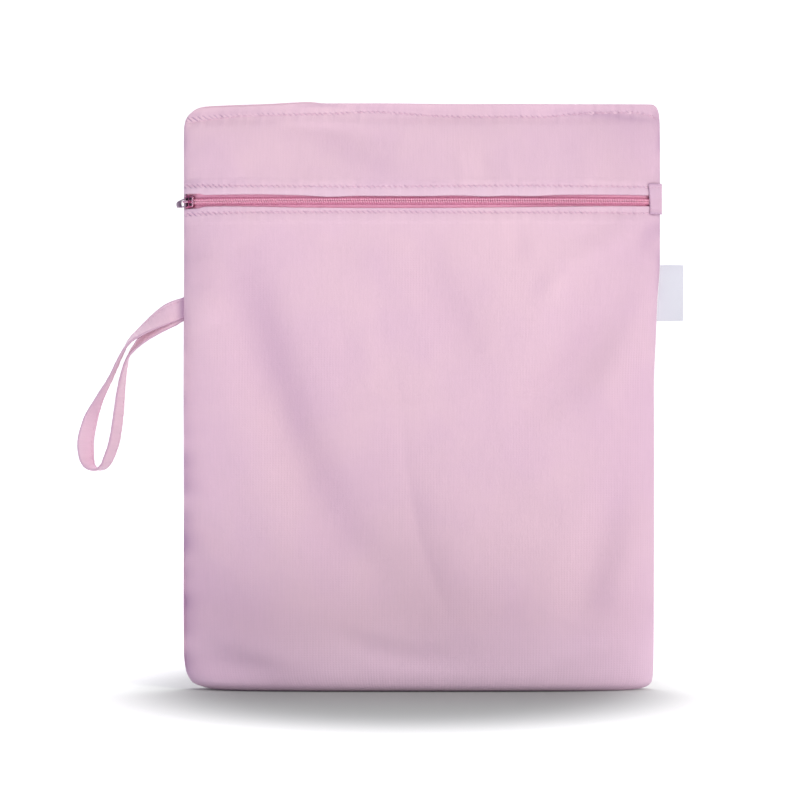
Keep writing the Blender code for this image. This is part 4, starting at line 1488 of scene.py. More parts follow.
@dataclass
class Panel:
    """What the three large cloths of the bag share."""

    finishes: Finishes
    name: str
    side: Side
    columns: int
    edge_rows: int
    sewn: tuple[SewnLine, ...]
    flat: Place
    rests_on: str
    floor_rows: int = 0
    stitches: StitchSizes = StitchSizes()

    def heights(self) -> np.ndarray:
        """Heights of the panel's rows."""
        raise NotImplementedError

    def insets(self, heights: np.ndarray) -> np.ndarray:
        """Thickness of the cloth at each row."""
        return np.full(heights.shape, FORM.wall)

    def edge_wave(self, across: np.ndarray) -> np.ndarray:
        """Rise of the free edge at places across the bag."""
        raise NotImplementedError

    def build_cloth(self) -> bpy.types.Object:
        """Make the panel's cloth, with its free edge waved and its part of the floor."""
        shares = FORM.column_shares(self.columns)
        heights = self.heights()
        outer, inner = FORM.wall_grid(self.side, heights, shares, self.insets(heights))
        edge_first = self.floor_rows == 0
        rise = self.edge_wave(outer[0 if edge_first else -1][:, 0])
        for grid in (outer, inner):
            for row in range(self.edge_rows):
                share = float(smooth_step(self.edge_rows, 0.0, row))
                grid[row if edge_first else -1 - row][:, 2] += rise * share
        if self.floor_rows:
            floor_outer, floor_inner = FORM.floor(self.side, shares, self.floor_rows)
            outer = np.concatenate((floor_outer, outer))
            inner = np.concatenate((floor_inner, inner))
        return Mesher.cloth_piece(f"{self.name}_cloth", outer, inner, self.finishes.cloth,
                                  round_low=edge_first, round_high=True)

    def build_stitches(self) -> bpy.types.Object:
        """Make the panel's rows of stitches."""
        paths = []
        for line in self.sewn:
            across = np.linspace(*line.span, STITCH_PATH_POINTS)
            paths.append(FORM.on_face(self.side, across, line.levels.at(across),
                                      line.thread_out))
        return RowMaker.make(f"{self.name}_stitches", paths, self.finishes.thread,
                             **self.stitches.inputs())

    def build(self) -> None:
        """Make the panel and hand it to the frame."""
        cloth = self.build_cloth()
        mark_sewing_and_painted_shade(cloth, self.sewn)
        settle_sewn(cloth, self.build_stitches(), self.name)


@dataclass
class FrontPanel(Panel):
    """Lower front cloth, with its hem under the zip and the front part of the floor."""

    name: str = "front_panel"
    side: Side = Side.FRONT
    columns: int = 208
    edge_rows: int = 8
    sewn: tuple[SewnLine, ...] = (LOWER_HEM_LINE,)
    flat: Place = (0.335, 0.352)
    rests_on: str = "zip_tape_lower"
    floor_rows: int = 5
    edge: float = 328.25

    def heights(self) -> np.ndarray:
        """Heights of the panel's rows, close together at the floor and at the hem."""
        return np.concatenate((FOOT_LEVELS, np.arange(15.0, 315.0, 2.5),
                               np.linspace(315.5, self.edge - 0.75, 22)))

    def insets(self, heights: np.ndarray) -> np.ndarray:
        """Thickness of the cloth at each row, more in the hem."""
        return FORM.wall + (FORM.hem - FORM.wall) * smooth_step(317.0, 319.0, heights)

    def edge_wave(self, across: np.ndarray) -> np.ndarray:
        """Rise of the hem's edge, lower beside the slider."""
        return LOWER_EDGE_WAVE.at(across) - SLIDER_ROOM * smooth_step(*SLIDER_SIDE, across)


@dataclass
class FrontBand(Panel):
    """Upper front cloth, from its hem over the zip to the topstitched top edge."""

    name: str = "front_band"
    side: Side = Side.FRONT
    columns: int = 240
    edge_rows: int = 12
    sewn: tuple[SewnLine, ...] = (UPPER_HEM_LINE, FLANGE_LINE)
    flat: Place = (0.332, 0.066)
    rests_on: str = "zip_tape_upper"
    edge: float = 336.15

    def heights(self) -> np.ndarray:
        """Heights of the band's rows, close together at the hem and at the top edge."""
        return np.concatenate((np.linspace(self.edge + 0.75, 350.0, 24),
                               np.arange(352.0, 384.0, 2.0), np.linspace(384.5, 399.3, 26)))

    def insets(self, heights: np.ndarray) -> np.ndarray:
        """Thickness of the cloth at each row, more in the hem."""
        return FORM.hem - (FORM.hem - FORM.wall) * smooth_step(345.0, 348.0, heights)

    def edge_wave(self, across: np.ndarray) -> np.ndarray:
        """Rise of the hem's edge, higher beside the slider."""
        return UPPER_EDGE_WAVE.at(across) + SLIDER_ROOM * smooth_step(*SLIDER_SIDE, across)


@dataclass
class BackPanel(Panel):
    """Back cloth, one piece from the bottom seam to the top edge."""

    name: str = "back_panel"
    side: Side = Side.BACK
    columns: int = 176
    edge_rows: int = 6
    sewn: tuple[SewnLine, ...] = (FLANGE_LINE,)
    flat: Place = (0.336, 0.425)
    rests_on: str = "front_panel_cloth"
    floor_rows: int = 5
    peep: float = 1.1

    def heights(self) -> np.ndarray:
        """Heights of the panel's rows, close together at the floor and at the top edge."""
        return np.concatenate((FOOT_LEVELS, np.arange(15.0, 383.0, 3.2),
                               np.linspace(384.5, 399.3, 24)))

    def edge_wave(self, across: np.ndarray) -> np.ndarray:
        """Rise of the top edge, where the back peeps over the front at the left."""
        shown = smooth_step(-157.0, -146.0, across) - smooth_step(-78.0, -62.0, across)
        return self.peep * shown


@lru_cache(maxsize=None)
def zip_line(height: float) -> tuple[np.ndarray, np.ndarray]:
    """Line of the tapes' outer face at a height, seen from above.

    Args:
        height: Height of the line.

    Returns:
        The line's points as x and y, and the length up to each.
    """
    inset = FORM.hem + 0.6
    angle = np.linspace(0.03, math.pi - 0.03, 401)
    square = float(FORM.sections["square"].at(height))
    full = float(FORM.sections["full"].at(height))
    swell = float(FORM.sections["front"].at(height)) - inset + FORM.seam_lip
    share = -np.sign(np.cos(angle)) * np.abs(np.cos(angle)) ** (2.0 / square)
    across = (FORM.half_width(np.full(share.shape, height), share) - inset) * share
    depth = FORM.seam_gap / 2 + swell * np.sin(angle) ** (2.0 / full)
    points = np.stack((across, -depth), axis=-1)
    steps = np.linalg.norm(np.diff(points, axis=0), axis=1)
    return points, np.concatenate(([0.0], np.cumsum(steps)))


@dataclass
class ZipChain:
    """The closed zip: two woven tapes and the two halves of its coil."""

    finishes: Finishes
    tape_rows: tuple[float, ...] = (0.0, 1.3, 2.6, 3.95, 5.8, 7.6, 9.5, 11.5)
    tape_thickness: float = 0.6
    end_gap: float = 5.5
    straight_end: float = 9.6
    chain_gap: float = 0.3
    spread: float = 1.35
    spread_length: float = 5.5
    coil_half: float = 1.12
    coil_out: float = 1.05
    coil_middle: float = 0.80
    coil_start: float = 0.7
    thread_start: float = 0.9
    thread_lines: tuple[Place, ...] = ((1.5, 1.57), (2.35, 0.12))
    rise: float = 0.95
    rise_start: Place = (12.0, 24.0)
    rise_end: Place = (9.0, 2.0)
    pitch: float = 1.2

    def on_line(self, height: float, along: float) -> np.ndarray:
        """Point of the tapes' line, straight through the slider and curved past it."""
        points, lengths = zip_line(height)
        if along < self.straight_end:
            end = self.on_line(height, self.straight_end)
            return points[0] + (end - points[0]) * along / self.straight_end
        return np.array([np.interp(along, lengths, points[:, axis]) for axis in (0, 1)])

    def point(self, height: float, along: float, out: float) -> Triple:
        """Point of the zip.

        Args:
            height: Height of the point.
            along: Length along the zip.
            out: Distance out from the tapes' face.

        Returns:
            The point's coordinates.
        """
        level = round(height, 2)
        length = zip_line(level)[1][-1]
        along = min(along, length)
        before = self.on_line(level, max(0.0, along - 1.5))
        after = self.on_line(level, min(length, along + 1.5))
        way = (after - before) / np.linalg.norm(after - before)
        place = self.on_line(level, along)
        return place[0] + way[1] * out, place[1] - way[0] * out, height

    def length(self) -> float:
        """Length of the zip up to the end tab."""
        return float(zip_line(FORM.zip_height)[1][-1]) - self.end_gap

    def spread_at(self, along: float) -> float:
        """How far each half stands off the middle line beside the slider's wedge."""
        step = float(smooth_step(0.0, self.spread_length, along - 1.0))
        return self.chain_gap / 2 + self.spread * (1.0 - step)

    def lift_at(self, along: float) -> float:
        """How far the chain rises towards the cloth's face past the slider."""
        left = self.length() - along
        return self.rise * float(smooth_step(*self.rise_start, along)
                                 * fall(-self.rise_end[0], -self.rise_end[1], -left))

    def build_tape(self, name: str, way: int) -> bpy.types.Object:
        """Make one tape.

        Args:
            name: Name of the piece.
            way: 1 above the middle line, -1 below it.

        Returns:
            The finished object.
        """
        stations = np.concatenate((np.linspace(0.0, 12.0, 13),
                                   np.linspace(14.0, self.length(), 150)))
        grids = []
        for out in (0.0, -self.tape_thickness):
            rows = []
            for offset in self.tape_rows:
                rib = 0.05 * math.sin(offset * 2.4) if out == 0.0 else 0.0
                row = []
                for along in stations:
                    off = self.spread_at(along) * (1.0 - offset / self.tape_rows[-1])
                    lift = self.lift_at(along) * float(fall(2.0, 6.0, offset))
                    row.append(self.point(FORM.zip_height + way * (offset + off), along,
                                          out + rib + lift))
                rows.append(row)
            grids.append(np.array(rows))
        return Mesher.cloth_piece(name, grids[0], grids[1], self.finishes.tape)

    def path(self, way: int, offset: float, out: float, first: float) -> np.ndarray:
        """Path along one half of the zip.

        Args:
            way: 1 above the middle line, -1 below it.
            offset: Distance from the half's inner edge.
            out: Distance out from the tapes' face.
            first: Length along the zip at which the path starts.

        Returns:
            Points of the path.
        """
        stations = np.concatenate((np.linspace(first, 12.0, 24),
                                   np.linspace(13.0, self.length(), 260)))
        return np.array([self.point(FORM.zip_height + way * (self.spread_at(along) + offset),
                                    along, out + self.lift_at(along)) for along in stations])

    def build_coil(self, name: str, way: int) -> bpy.types.Object:
        """Make the teeth of one half of the coil, set half a pitch from the other half."""
        first = self.coil_start if way > 0 else self.coil_start + self.pitch / 2
        path = self.path(way, self.coil_middle, self.coil_out, first)
        return RowMaker.make(name, [path], self.finishes.coil, segments=8, rings=6,
                             Pitch=self.pitch * MM, Along=0.00050,
                             Across=self.coil_half * MM, Deep=0.00072, Lean=0.16 * way,
                             Unevenness=0.02)

    def build_threads(self, name: str, way: int) -> bpy.types.Object:
        """Make the two rows of thread that sew one half of the coil to its tape."""
        rows = [self.path(way, offset, out, self.thread_start)
                for offset, out in self.thread_lines]
        return RowMaker.make(name, rows, self.finishes.zip_thread, segments=6, rings=4,
                             Pitch=self.pitch * MM, Along=0.00056, Across=0.00026,
                             Deep=0.00026, Unevenness=0.05)

    def build(self) -> None:
        """Make the zip's tapes and coils and hand them to the frame."""
        for end, way in (("upper", 1), ("lower", -1)):
            tape = self.build_tape(f"zip_tape_{end}_weave", way)
            settle(tape, BAG, (f"zip_tape_{end}",))
            coil = self.build_coil(f"zip_coil_{end}_teeth", way)
            settle(coil, BAG, (f"zip_coil_{end}",))
            threads = self.build_threads(f"zip_coil_{end}_thread", way)
            settle(threads, BAG)
            self.length() * MM

    def slider_frame(self) -> Matrix:
        """Place of the slider: X towards its mouth, Y out of the bag, Z up."""
        start = Vector(self.on_line(FORM.zip_height, 0.0))
        end = Vector(self.on_line(FORM.zip_height, self.straight_end))
        centre = start.lerp(end, 0.5)
        mouth = (start - end).normalized()
        frame = Matrix.Identity(4)
        frame.col[0] = (mouth.x, mouth.y, 0.0, 0.0)
        frame.col[1] = (-mouth.y, mouth.x, 0.0, 0.0)
        frame.col[3] = (centre.x, centre.y, FORM.zip_height, 1.0)
        return frame


def plate_place(point: Place, level: float) -> Triple:
    """Outline in the slider's length and width, level along its thickness."""
    return point[0], level, point[1]


def side_place(point: Place, level: float) -> Triple:
    """Outline in the slider's length and thickness, level along its width."""
    return point[0], point[1], level


@dataclass
class ZipSlider:
    """Die-cast slider: two shield plates, the wedge between them, rails and the crown."""

    finishes: Finishes
    frame: Matrix
    half_length: float = 4.3
    half_width: float = 4.5
    bottom: float = -1.85
    over_bottom: float = -0.95
    rail: float = 0.35
    under_top: float = 2.1
    top: float = 3.0
    under_crown: float = 5.0
    crown: float = 5.8
    crown_half: float = 0.7

    def shield(self, shrink: float = 0.0) -> list[Place]:
        """Outline of a plate, rounded at the chain's end and pointed at the mouth."""
        length, wide = self.half_length, self.half_width
        upper = [(-length, 2.4), (-length + 0.35, 3.2), (-length + 1.0, 3.7), (-2.0, 3.85),
                 (-0.8, 4.02), (0.5, 4.3), (1.4, wide), (2.4, wide), (3.1, 4.3), (3.7, 3.7),
                 (length - 0.2, 2.8), (length, 1.5)]
        upper = [(along * (1.0 - shrink / length), width - shrink) for along, width in upper]
        return upper + [(along, -width) for along, width in reversed(upper)]

    def rail_outline(self, way: int) -> list[Place]:
        """Outline of one side rail, just inside the plate's edge."""
        edge = [(-self.half_length + 1.0, 3.7), (-0.8, 4.02), (0.5, 4.3), (1.4, 4.5), (2.9, 4.4)]
        inside = [(along, width - 0.75) for along, width in reversed(edge)]
        return [(along, way * width) for along, width in edge + inside]

    def crown_outline(self) -> list[Place]:
        """Outline of the crown as the slider is seen from its side."""
        top, under, high = self.top, self.under_crown, self.crown
        return [(-2.3, top - 0.3), (-2.22, under - 0.9), (-2.0, under - 0.2), (-1.5, high - 0.18),
                (-0.9, high), (2.9, high), (3.55, high - 0.2), (3.95, under - 0.1),
                (4.1, under - 0.9), (4.1, top - 0.3), (3.25, top - 0.3), (3.25, under - 0.3),
                (3.05, under), (-0.75, under), (-1.05, under - 0.2), (-1.3, top - 0.3)]

    def windows(self) -> list[list[Place]]:
        """Outlines of the four thin plates beside the crown that carry painted shade for sunk
        panels.
        """
        near = [(-3.1, 0.95), (-3.1, 2.5), (-2.7, 2.9), (-1.0, 3.0), (-0.6, 2.7), (-0.6, 0.95)]
        far = [(0.3, 0.95), (0.3, 2.9), (1.9, 3.1), (2.4, 2.6), (2.4, 0.95)]
        return [[(along, way * width) for along, width in outline]
                for outline in (near, far) for way in (1, -1)]

    def mark_painted_light(self, slider: bpy.types.Object) -> None:
        """Store where the slider gets painted shade, on the windows, and painted highlight, on
        rims.

        Args:
            slider: The finished slider.
        """
        inverse = self.frame.inverted()
        points = np.array([inverse @ (vertex.co / MM) for vertex in slider.data.vertices])
        along, level = points[:, 0], points[:, 1]
        marks = np.zeros(points.shape)
        marks[:, 2] = (level > self.top + 0.17) & (level < self.top + 0.3)
        marks[:, 0] = 0.75 * np.maximum(level > self.crown - 0.25,
                                        (along < -3.2) & (level > self.top - 0.35))
        marks[marks[:, 2] > 0.5, 0] = 0.0
        store_marks(slider, marks)

    def build(self) -> None:
        """Make the slider and hand it to the frame."""
        wedge = [(0.3, 0.0), (1.0, 0.3), (1.8, 0.5), (3.2, 0.8), (3.9, 0.6), (4.05, 0.0),
                 (3.9, -0.6), (3.2, -0.8), (1.8, -0.5), (1.0, -0.3)]
        parts = [
            Mesher.prism(self.shield(), self.under_top, self.top, plate_place, 0.28, 3),
            Mesher.prism(self.shield(1.0), self.top - 0.2, self.top + 0.16, plate_place, 0.1),
            Mesher.prism(self.shield(), self.bottom, self.over_bottom, plate_place, 0.28, 3),
            Mesher.prism(wedge, self.over_bottom - 0.3, self.under_top + 0.3, plate_place, 0.05),
            *(Mesher.prism(self.rail_outline(way), self.rail, self.under_top + 0.4, plate_place,
                           0.14) for way in (1, -1)),
            Mesher.prism(self.crown_outline(), -self.crown_half, self.crown_half, side_place,
                         0.16, 3),
        ]
        # Thin plates beside the crown that carry painted shade where sunk panels would be dark
        parts += [Mesher.prism(outline, self.top - 0.1, self.top + 0.2, plate_place, 0.02)
                  for outline in self.windows()]
        slider = Mesher.joined("zip_slider_body", parts, self.frame, self.finishes.slider)
        self.mark_painted_light(slider)
        settle(slider, BAG, ("zip_slider",))


@dataclass
class ZipPull:
    """Pull tab with an eye round the crown's foot, which swings on the crown."""

    finishes: Finishes
    frame: Matrix
    pivot: Triple = (2.2, 4.0, -0.5)
    thickness: float = 0.9
    reach: float = 11.2
    eye_length: float = 5.6
    dip_degrees: float = 10.0
    sag_degrees: float = 6.0
    corner: float = 0.2

    def hinge(self) -> Matrix:
        """Place of the tab in the slider's frame."""
        sag = Matrix.Rotation(math.radians(self.sag_degrees), 4, "Y")
        dip = Matrix.Rotation(math.radians(-self.dip_degrees), 4, "Z")
        return Matrix.Translation(self.pivot) @ dip @ sag

    def outlines(self) -> tuple[list[Place], list[Place]]:
        """Rim and eye of the tab, each a whole loop."""
        half = self.thickness / 2
        rim = [(-0.45, 2.1), (-0.1, 2.6), (0.5, 2.9), (1.8, 2.9), (3.2, 2.88), (4.4, 2.82),
               (5.6, 2.7), (7.4, 2.42), (9.2, 2.22), (10.2, 2.05),
               (10.85, 1.55), (self.reach, 0.8)]
        eye = [(half, 1.45), (half + 0.1, 1.8), (half + 0.4, 2.0), (1.8, 2.0), (2.8, 2.0),
               (3.8, 1.98), (4.6, 1.9), (5.0, 1.72), (5.25, 1.4), (5.42, 1.1), (5.52, 0.8),
               (self.eye_length, 0.4)]
        return tuple(loop + [(along, -width) for along, width in reversed(loop)]
                     for loop in (rim, eye))

    def build(self) -> None:
        """Make the tab and hand it to the frame."""
        mesh = bmesh.new()
        half, corner = self.thickness / 2, self.corner
        rim, eye = self.outlines()
        levels = ((0.0, 1.0), (0.07, 0.35), (0.2, 0.0))
        rings = []
        for outline, inward in ((rim, 1.0), (eye, -1.0)):
            middle = sum(point[0] for point in outline) / len(outline)
            profile = [(-half + drop, corner * share) for drop, share in levels]
            profile += [(-level, shift) for level, shift in reversed(profile)]
            for level, shift in profile:
                ring = []
                for along, width in outline:
                    out = Vector((along - middle, width)).normalized() * shift * inward
                    ring.append(mesh.verts.new(plate_place((along - out.x, width - out.y),
                                                           level)))
                rings.append(ring)
        count = len(rings) // 2
        order = rings[:count] + rings[count:][::-1]
        for first, second in zip(order, order[1:] + order[:1]):
            for index in range(len(first)):
                after = (index + 1) % len(first)
                mesh.faces.new((first[index], first[after], second[after], second[index]))
        pull = Mesher.joined("zip_pull_tab", [mesh], self.frame @ self.hinge(),
                             self.finishes.pull, sharp=60.0)
        settle(pull, PULL, ("zip_pull",))


@dataclass
class EndTab:
    """Small cloth tab over the zip's right end, stitched above and below the zip."""

    finishes: Finishes
    left: float = 155.3
    low: float = 324.1
    high: float = 344.3
    thickness: float = 1.0
    rows: int = 26
    columns: int = 30
    flat: Place = (0.0133, 0.0202)
    sewn_at: Place = (0.12, 0.88)
    sewn_width: float = 0.05
    puff: float = 0.28
    pulled_in: float = 0.4
    plain_shade: float = 0.56
    rim_width: float = 0.9
    stitches: StitchSizes = StitchSizes(0.0024, 0.00085, 0.00026, 0.00024)

    def base(self, height: np.ndarray, share: np.ndarray, out: float) -> np.ndarray:
        """Points of the tab's face, without the folds of the cloth under it.

        Args:
            height: Height of each point.
            share: Share of the half width.
            out: Distance outside the bag's plain face.

        Returns:
            Array of points.
        """
        points = FORM.cloth(Side.FRONT, height, share, -out)
        lift = FORM.relief(Side.FRONT, points[..., 0], height)
        points[..., 1] += lift * FORM.bulge(height, share) ** 0.5
        return points

    def grid(self, out: float) -> np.ndarray:
        """Rows of the tab's face at a distance out of the bag."""
        rows = []
        for row in range(self.rows):
            part = row / (self.rows - 1)
            height = self.low + (self.high - self.low) * part
            slant = 1.2 * (0.5 - part)
            first = (self.left + slant) / float(FORM.sections["right"].at(height))
            shares = first + (0.9995 - first) * np.sin(np.pi / 2
                                                       * np.linspace(0.0, 1.0, self.columns))
            rows.append(self.base(np.full(shares.shape, height), shares, out))
        return np.array(rows)

    def build(self) -> None:
        """Make the tab and its stitches and hand them to the frame."""
        inner = self.grid(FORM.seam_gap + 0.25)
        outer = self.grid(FORM.seam_gap + self.thickness)
        part = np.linspace(0.0, 1.0, self.rows)[:, None]
        low, high = (np.exp(-((part - line) / self.sewn_width) ** 2) for line in self.sewn_at)
        shift = self.puff * np.sin(np.pi * part) ** 0.5 - self.pulled_in * (low + high)
        outer[..., 1] -= shift * np.ones(outer.shape[:2])
        outer, inner = (np.concatenate((grid, grid[:, -1:] * (1.0, 0.0, 1.0) - (0.06, 0.2, 0.0)),
                                       axis=1) for grid in (outer, inner))
        tab = Mesher.cloth_piece("zip_end_tab_cloth", outer, inner, self.finishes.cloth,
                                 round_low=True, round_high=True)
        points = points_of(tab)
        rim = np.minimum(points[:, 0] - self.left + 0.6,
                         np.minimum(points[:, 2] - self.low, self.high - points[:, 2]))
        # Painted shade over the whole tab, darker still towards its rim
        marks = np.zeros(points.shape)
        near_rim = np.exp(-(np.maximum(rim, 0.0) / self.rim_width) ** 2)
        marks[:, 2] = self.plain_shade + (1.0 - self.plain_shade) * near_rim
        store_marks(tab, marks)
        lines = [outer[row][:-5] + (0.0, -0.1, 0.0) for row in (3, self.rows - 4)]
        stitches = RowMaker.make("zip_end_tab_stitches", lines, self.finishes.thread,
                                 **self.stitches.inputs())
        settle_sewn(tab, stitches, "zip_end_tab")


@dataclass
class SideLabel:
    """Woven ribbon, folded double and sewn into the right side seam, bare on both faces."""

    finishes: Finishes
    low: float = 251.2
    high: float = 289.4
    tip: float = 179.9
    ply: float = 0.42
    half_gap: float = 0.06
    bend: float = 1.6
    wave: float = 0.14
    rows: int = 40
    steps: int = 26

    def profile(self, out: float) -> np.ndarray:
        """Line of the folded ribbon seen from above, at a distance out of its middle.

        Args:
            out: Distance towards the outside of the fold.

        Returns:
            Points as share of the length, and distance from the middle plane.
        """
        radius = self.half_gap + self.ply / 2 + out
        flat = np.linspace(0.0, 1.0, self.steps)
        reach = self.tip - self.half_gap - self.ply
        front = [(share, -radius, reach) for share in flat]
        bend = [(1.0, -radius * math.cos(angle), reach + radius * math.sin(angle))
                for angle in np.linspace(0.35, math.pi - 0.35, 7)]
        back = [(share, radius, reach) for share in flat[::-1]]
        return np.array(front + bend + back)

    def grid(self, out: float) -> np.ndarray:
        """Rows of one face of the folded ribbon, from bottom to top."""
        rows = []
        for row in range(self.rows):
            part = row / (self.rows - 1)
            height = self.low + (self.high - self.low) * part
            root = float(FORM.sections["right"].at(height)) + 0.3
            points = []
            for share, side, reach in self.profile(out):
                across = root + (reach - root) * share if reach <= self.tip - 0.4 else reach
                bend = self.bend * share ** 2 * math.sin(math.pi * part)
                wave = self.wave * math.sin(part * 9.0 + share * 3.0) * share
                points.append((across, bend + wave + side, height + 0.25 * math.sin(
                    share * 4.0) * (part - 0.5)))
            rows.append(points)
        return np.array(rows)

    def build(self) -> None:
        """Make the label and hand it to the frame."""
        label = Mesher.cloth_piece("side_label_ribbon", self.grid(self.ply / 2),
                                   self.grid(-self.ply / 2), self.finishes.label)
        settle(label, BAG, ("side_label",))


STRAP_ROWS = (
    (-160.7, -1.25, 260.6, 180.0),
    (-169.3, -1.4, 257.3, 168.0),
    (-179.5, -1.6, 251.5, 140.0),
    (-189.4, -1.5, 244.7, 116.0),
    (-198.3, -1.2, 237.2, 100.0),
    (-204.1, -1.0, 227.3, 90.0),
    (-210.9, -1.0, 212.7, 86.0),
    (-219.1, -1.0, 197.3, 74.0),
    (-225.4, -1.0, 182.0, 52.0),
    (-228.3, -0.5, 166.6, 44.0),
    (-227.7, 0.0, 158.4, 50.0),
    (-225.0, 0.0, 152.4, 68.0),
    (-220.4, 0.0, 150.0, 90.0),
    (-215.8, 0.5, 152.2, 104.0),
    (-212.8, 1.0, 157.4, 112.0),
    (-208.6, 1.2, 170.0, 114.0),
    (-206.1, 1.8, 187.0, 112.0),
    (-203.8, 2.0, 207.5, 103.0),
    (-199.9, 2.4, 225.5, 88.0),
    (-191.1, 2.2, 237.5, 68.0),
    (-179.5, 1.8, 247.4, 42.0),
    (-167.9, 1.4, 255.0, 13.0),
    (-160.7, 1.25, 258.5, 0.0),
)


@dataclass
class WristStrap:
    """Flat cloth strap, folded from a tape, edge-stitched and looped from the left seam."""

    finishes: Finishes
    width: float = 14.0
    thickness: float = 2.0
    sections: int = 300
    sewn_length: float = 14.0
    stitch_place: float = 0.68
    root_shade: float = 4.2
    edge_shade: float = 0.7
    stitches: StitchSizes = StitchSizes(0.0030, 0.00112, 0.00026, 0.00024)

    def curves(self) -> tuple[float, list[Curve]]:
        """Length of the strap's table and one curve for each of its columns."""
        rows = np.array(STRAP_ROWS)
        steps = np.linalg.norm(np.diff(rows[:, :3], axis=0), axis=1)
        lengths = np.concatenate(([0.0], np.cumsum(steps)))
        return float(lengths[-1]), [Curve(lengths, rows[:, column]) for column in range(4)]

    def frames(self, count: int) -> tuple[np.ndarray, np.ndarray, np.ndarray]:
        """Middle line of the strap, with its width and thickness directions.

        Args:
            count: How many places to give.

        Returns:
            Places, width directions and thickness directions.
        """
        length, curves = self.curves()
        along = np.linspace(0.0, length, count)
        place = np.stack([curve.at(along) for curve in curves[:3]], axis=-1)
        before = np.stack([curve.at(along - 0.5) for curve in curves[:3]], axis=-1)
        after = np.stack([curve.at(along + 0.5) for curve in curves[:3]], axis=-1)
        way = self.unit(after - before)
        turn = np.radians(curves[3].at(along))[:, None]
        depth = np.array((0.0, 1.0, 0.0))
        level = self.unit(np.cross(way, depth))
        width = np.cos(turn) * level + np.sin(turn) * depth
        sewn = fall(0.0, self.sewn_length, np.minimum(along, length - along))
        upright = np.zeros(width.shape)
        upright[:, 2] = np.where(width[:, 2] < 0.0, -1.0, 1.0)
        width = self.unit(width + (upright - width) * sewn[:, None])
        return place, width, self.unit(np.cross(way, width))

    @staticmethod
    def unit(rows: np.ndarray) -> np.ndarray:
        """Rows scaled to length 1."""
        return rows / np.linalg.norm(rows, axis=1, keepdims=True)

    def outline(self) -> list[Place]:
        """Cross-section of the folded tape: width share and thickness share, as a loop.

        The two folded edges meet in a groove at one side, and the other side is one fold.
        The line of stitches pulls both faces in beside the open side.
        """
        upper = [(-1.0, 0.12), (-0.985, 0.42), (-0.94, 0.68), (-0.86, 0.86), (-0.7, 0.98),
                 (-0.45, 1.02), (-0.1, 1.0), (0.25, 0.98), (0.45, 0.96), (0.58, 0.86),
                 (self.stitch_place, 0.66), (0.78, 0.84), (0.88, 0.9), (0.95, 0.78),
                 (0.99, 0.54), (1.0, 0.3), (0.975, 0.1), (0.93, 0.02)]
        return upper + [(share, -thick) for share, thick in reversed(upper)]

    def build_cloth(self) -> bpy.types.Object:
        """Make the strap's cloth."""
        place, width, thick = self.frames(self.sections + 1)
        outline = self.outline()
        count = len(outline)
        length = self.curves()[0]
        along = np.linspace(0.0, length, self.sections + 1)
        wave = 1.0 + 0.05 * np.sin(along * 1.13) + 0.04 * np.sin(along * 0.61 + 0.8)
        rows = []
        for share, thin in outline:
            near_line = math.exp(-((share - self.stitch_place) / 0.22) ** 2)
            swell = 1.0 + (wave - 1.0) * (1.0 + 2.2 * near_line)
            rows.append(place + width * (share * self.width / 2)
                        + thick * (thin * self.thickness / 2 * swell)[:, None])
        grid = np.array(rows)
        faces = Mesher.sheet_faces(count // 2, len(along))
        loop = np.concatenate(([0.0], np.cumsum(np.linalg.norm(
            np.diff(np.array(outline) * (self.width / 2, self.thickness / 2), axis=0), axis=1))))
        v, u = np.meshgrid(loop, along, indexing="ij")
        uvs = np.stack((u, v), axis=-1).reshape(-1, 2) * MM
        strap = Mesher.object_of("wrist_strap_cloth", grid.reshape(-1, 3), faces,
                                 self.finishes.cloth, uvs)
        # Painted shade: darker at both roots in the seam, along the left leg, at the turn and
        # towards both edges
        root = np.exp(-(np.minimum(along, length - along) / self.root_shade) ** 2)
        leg = smooth_step(40.0, 54.0, along) * fall(92.0, 112.0, along)
        turn = smooth_step(128.0, 136.0, along) * fall(142.0, 152.0, along)
        shaded = np.maximum(root, np.maximum(0.28 * leg, 0.22 * turn))
        rim = np.abs(np.array([share for share, _ in outline]))[:, None]
        painted_shade = np.maximum(shaded[None, :], self.edge_shade * smooth_step(0.84, 0.98, rim))
        marks = np.zeros((count * len(along), 3))
        marks[:, 2] = painted_shade.reshape(-1)
        store_marks(strap, marks)
        return strap

    def build_stitches(self) -> bpy.types.Object:
        """Make the edge stitching on both faces of the strap."""
        place, width, thick = self.frames(self.sections + 1)
        middle = place + width * (self.stitch_place * self.width / 2)
        out = 0.66 * self.thickness / 2 + 0.08
        paths = [(middle + thick * out * way)[4:-4] for way in (1, -1)]
        return RowMaker.make("wrist_strap_stitches", paths, self.finishes.thread,
                             **self.stitches.inputs())

    def build(self) -> None:
        """Make the strap and hand it to the frame."""
        cloth = self.build_cloth()
        settle_sewn(cloth, self.build_stitches(), "wrist_strap")


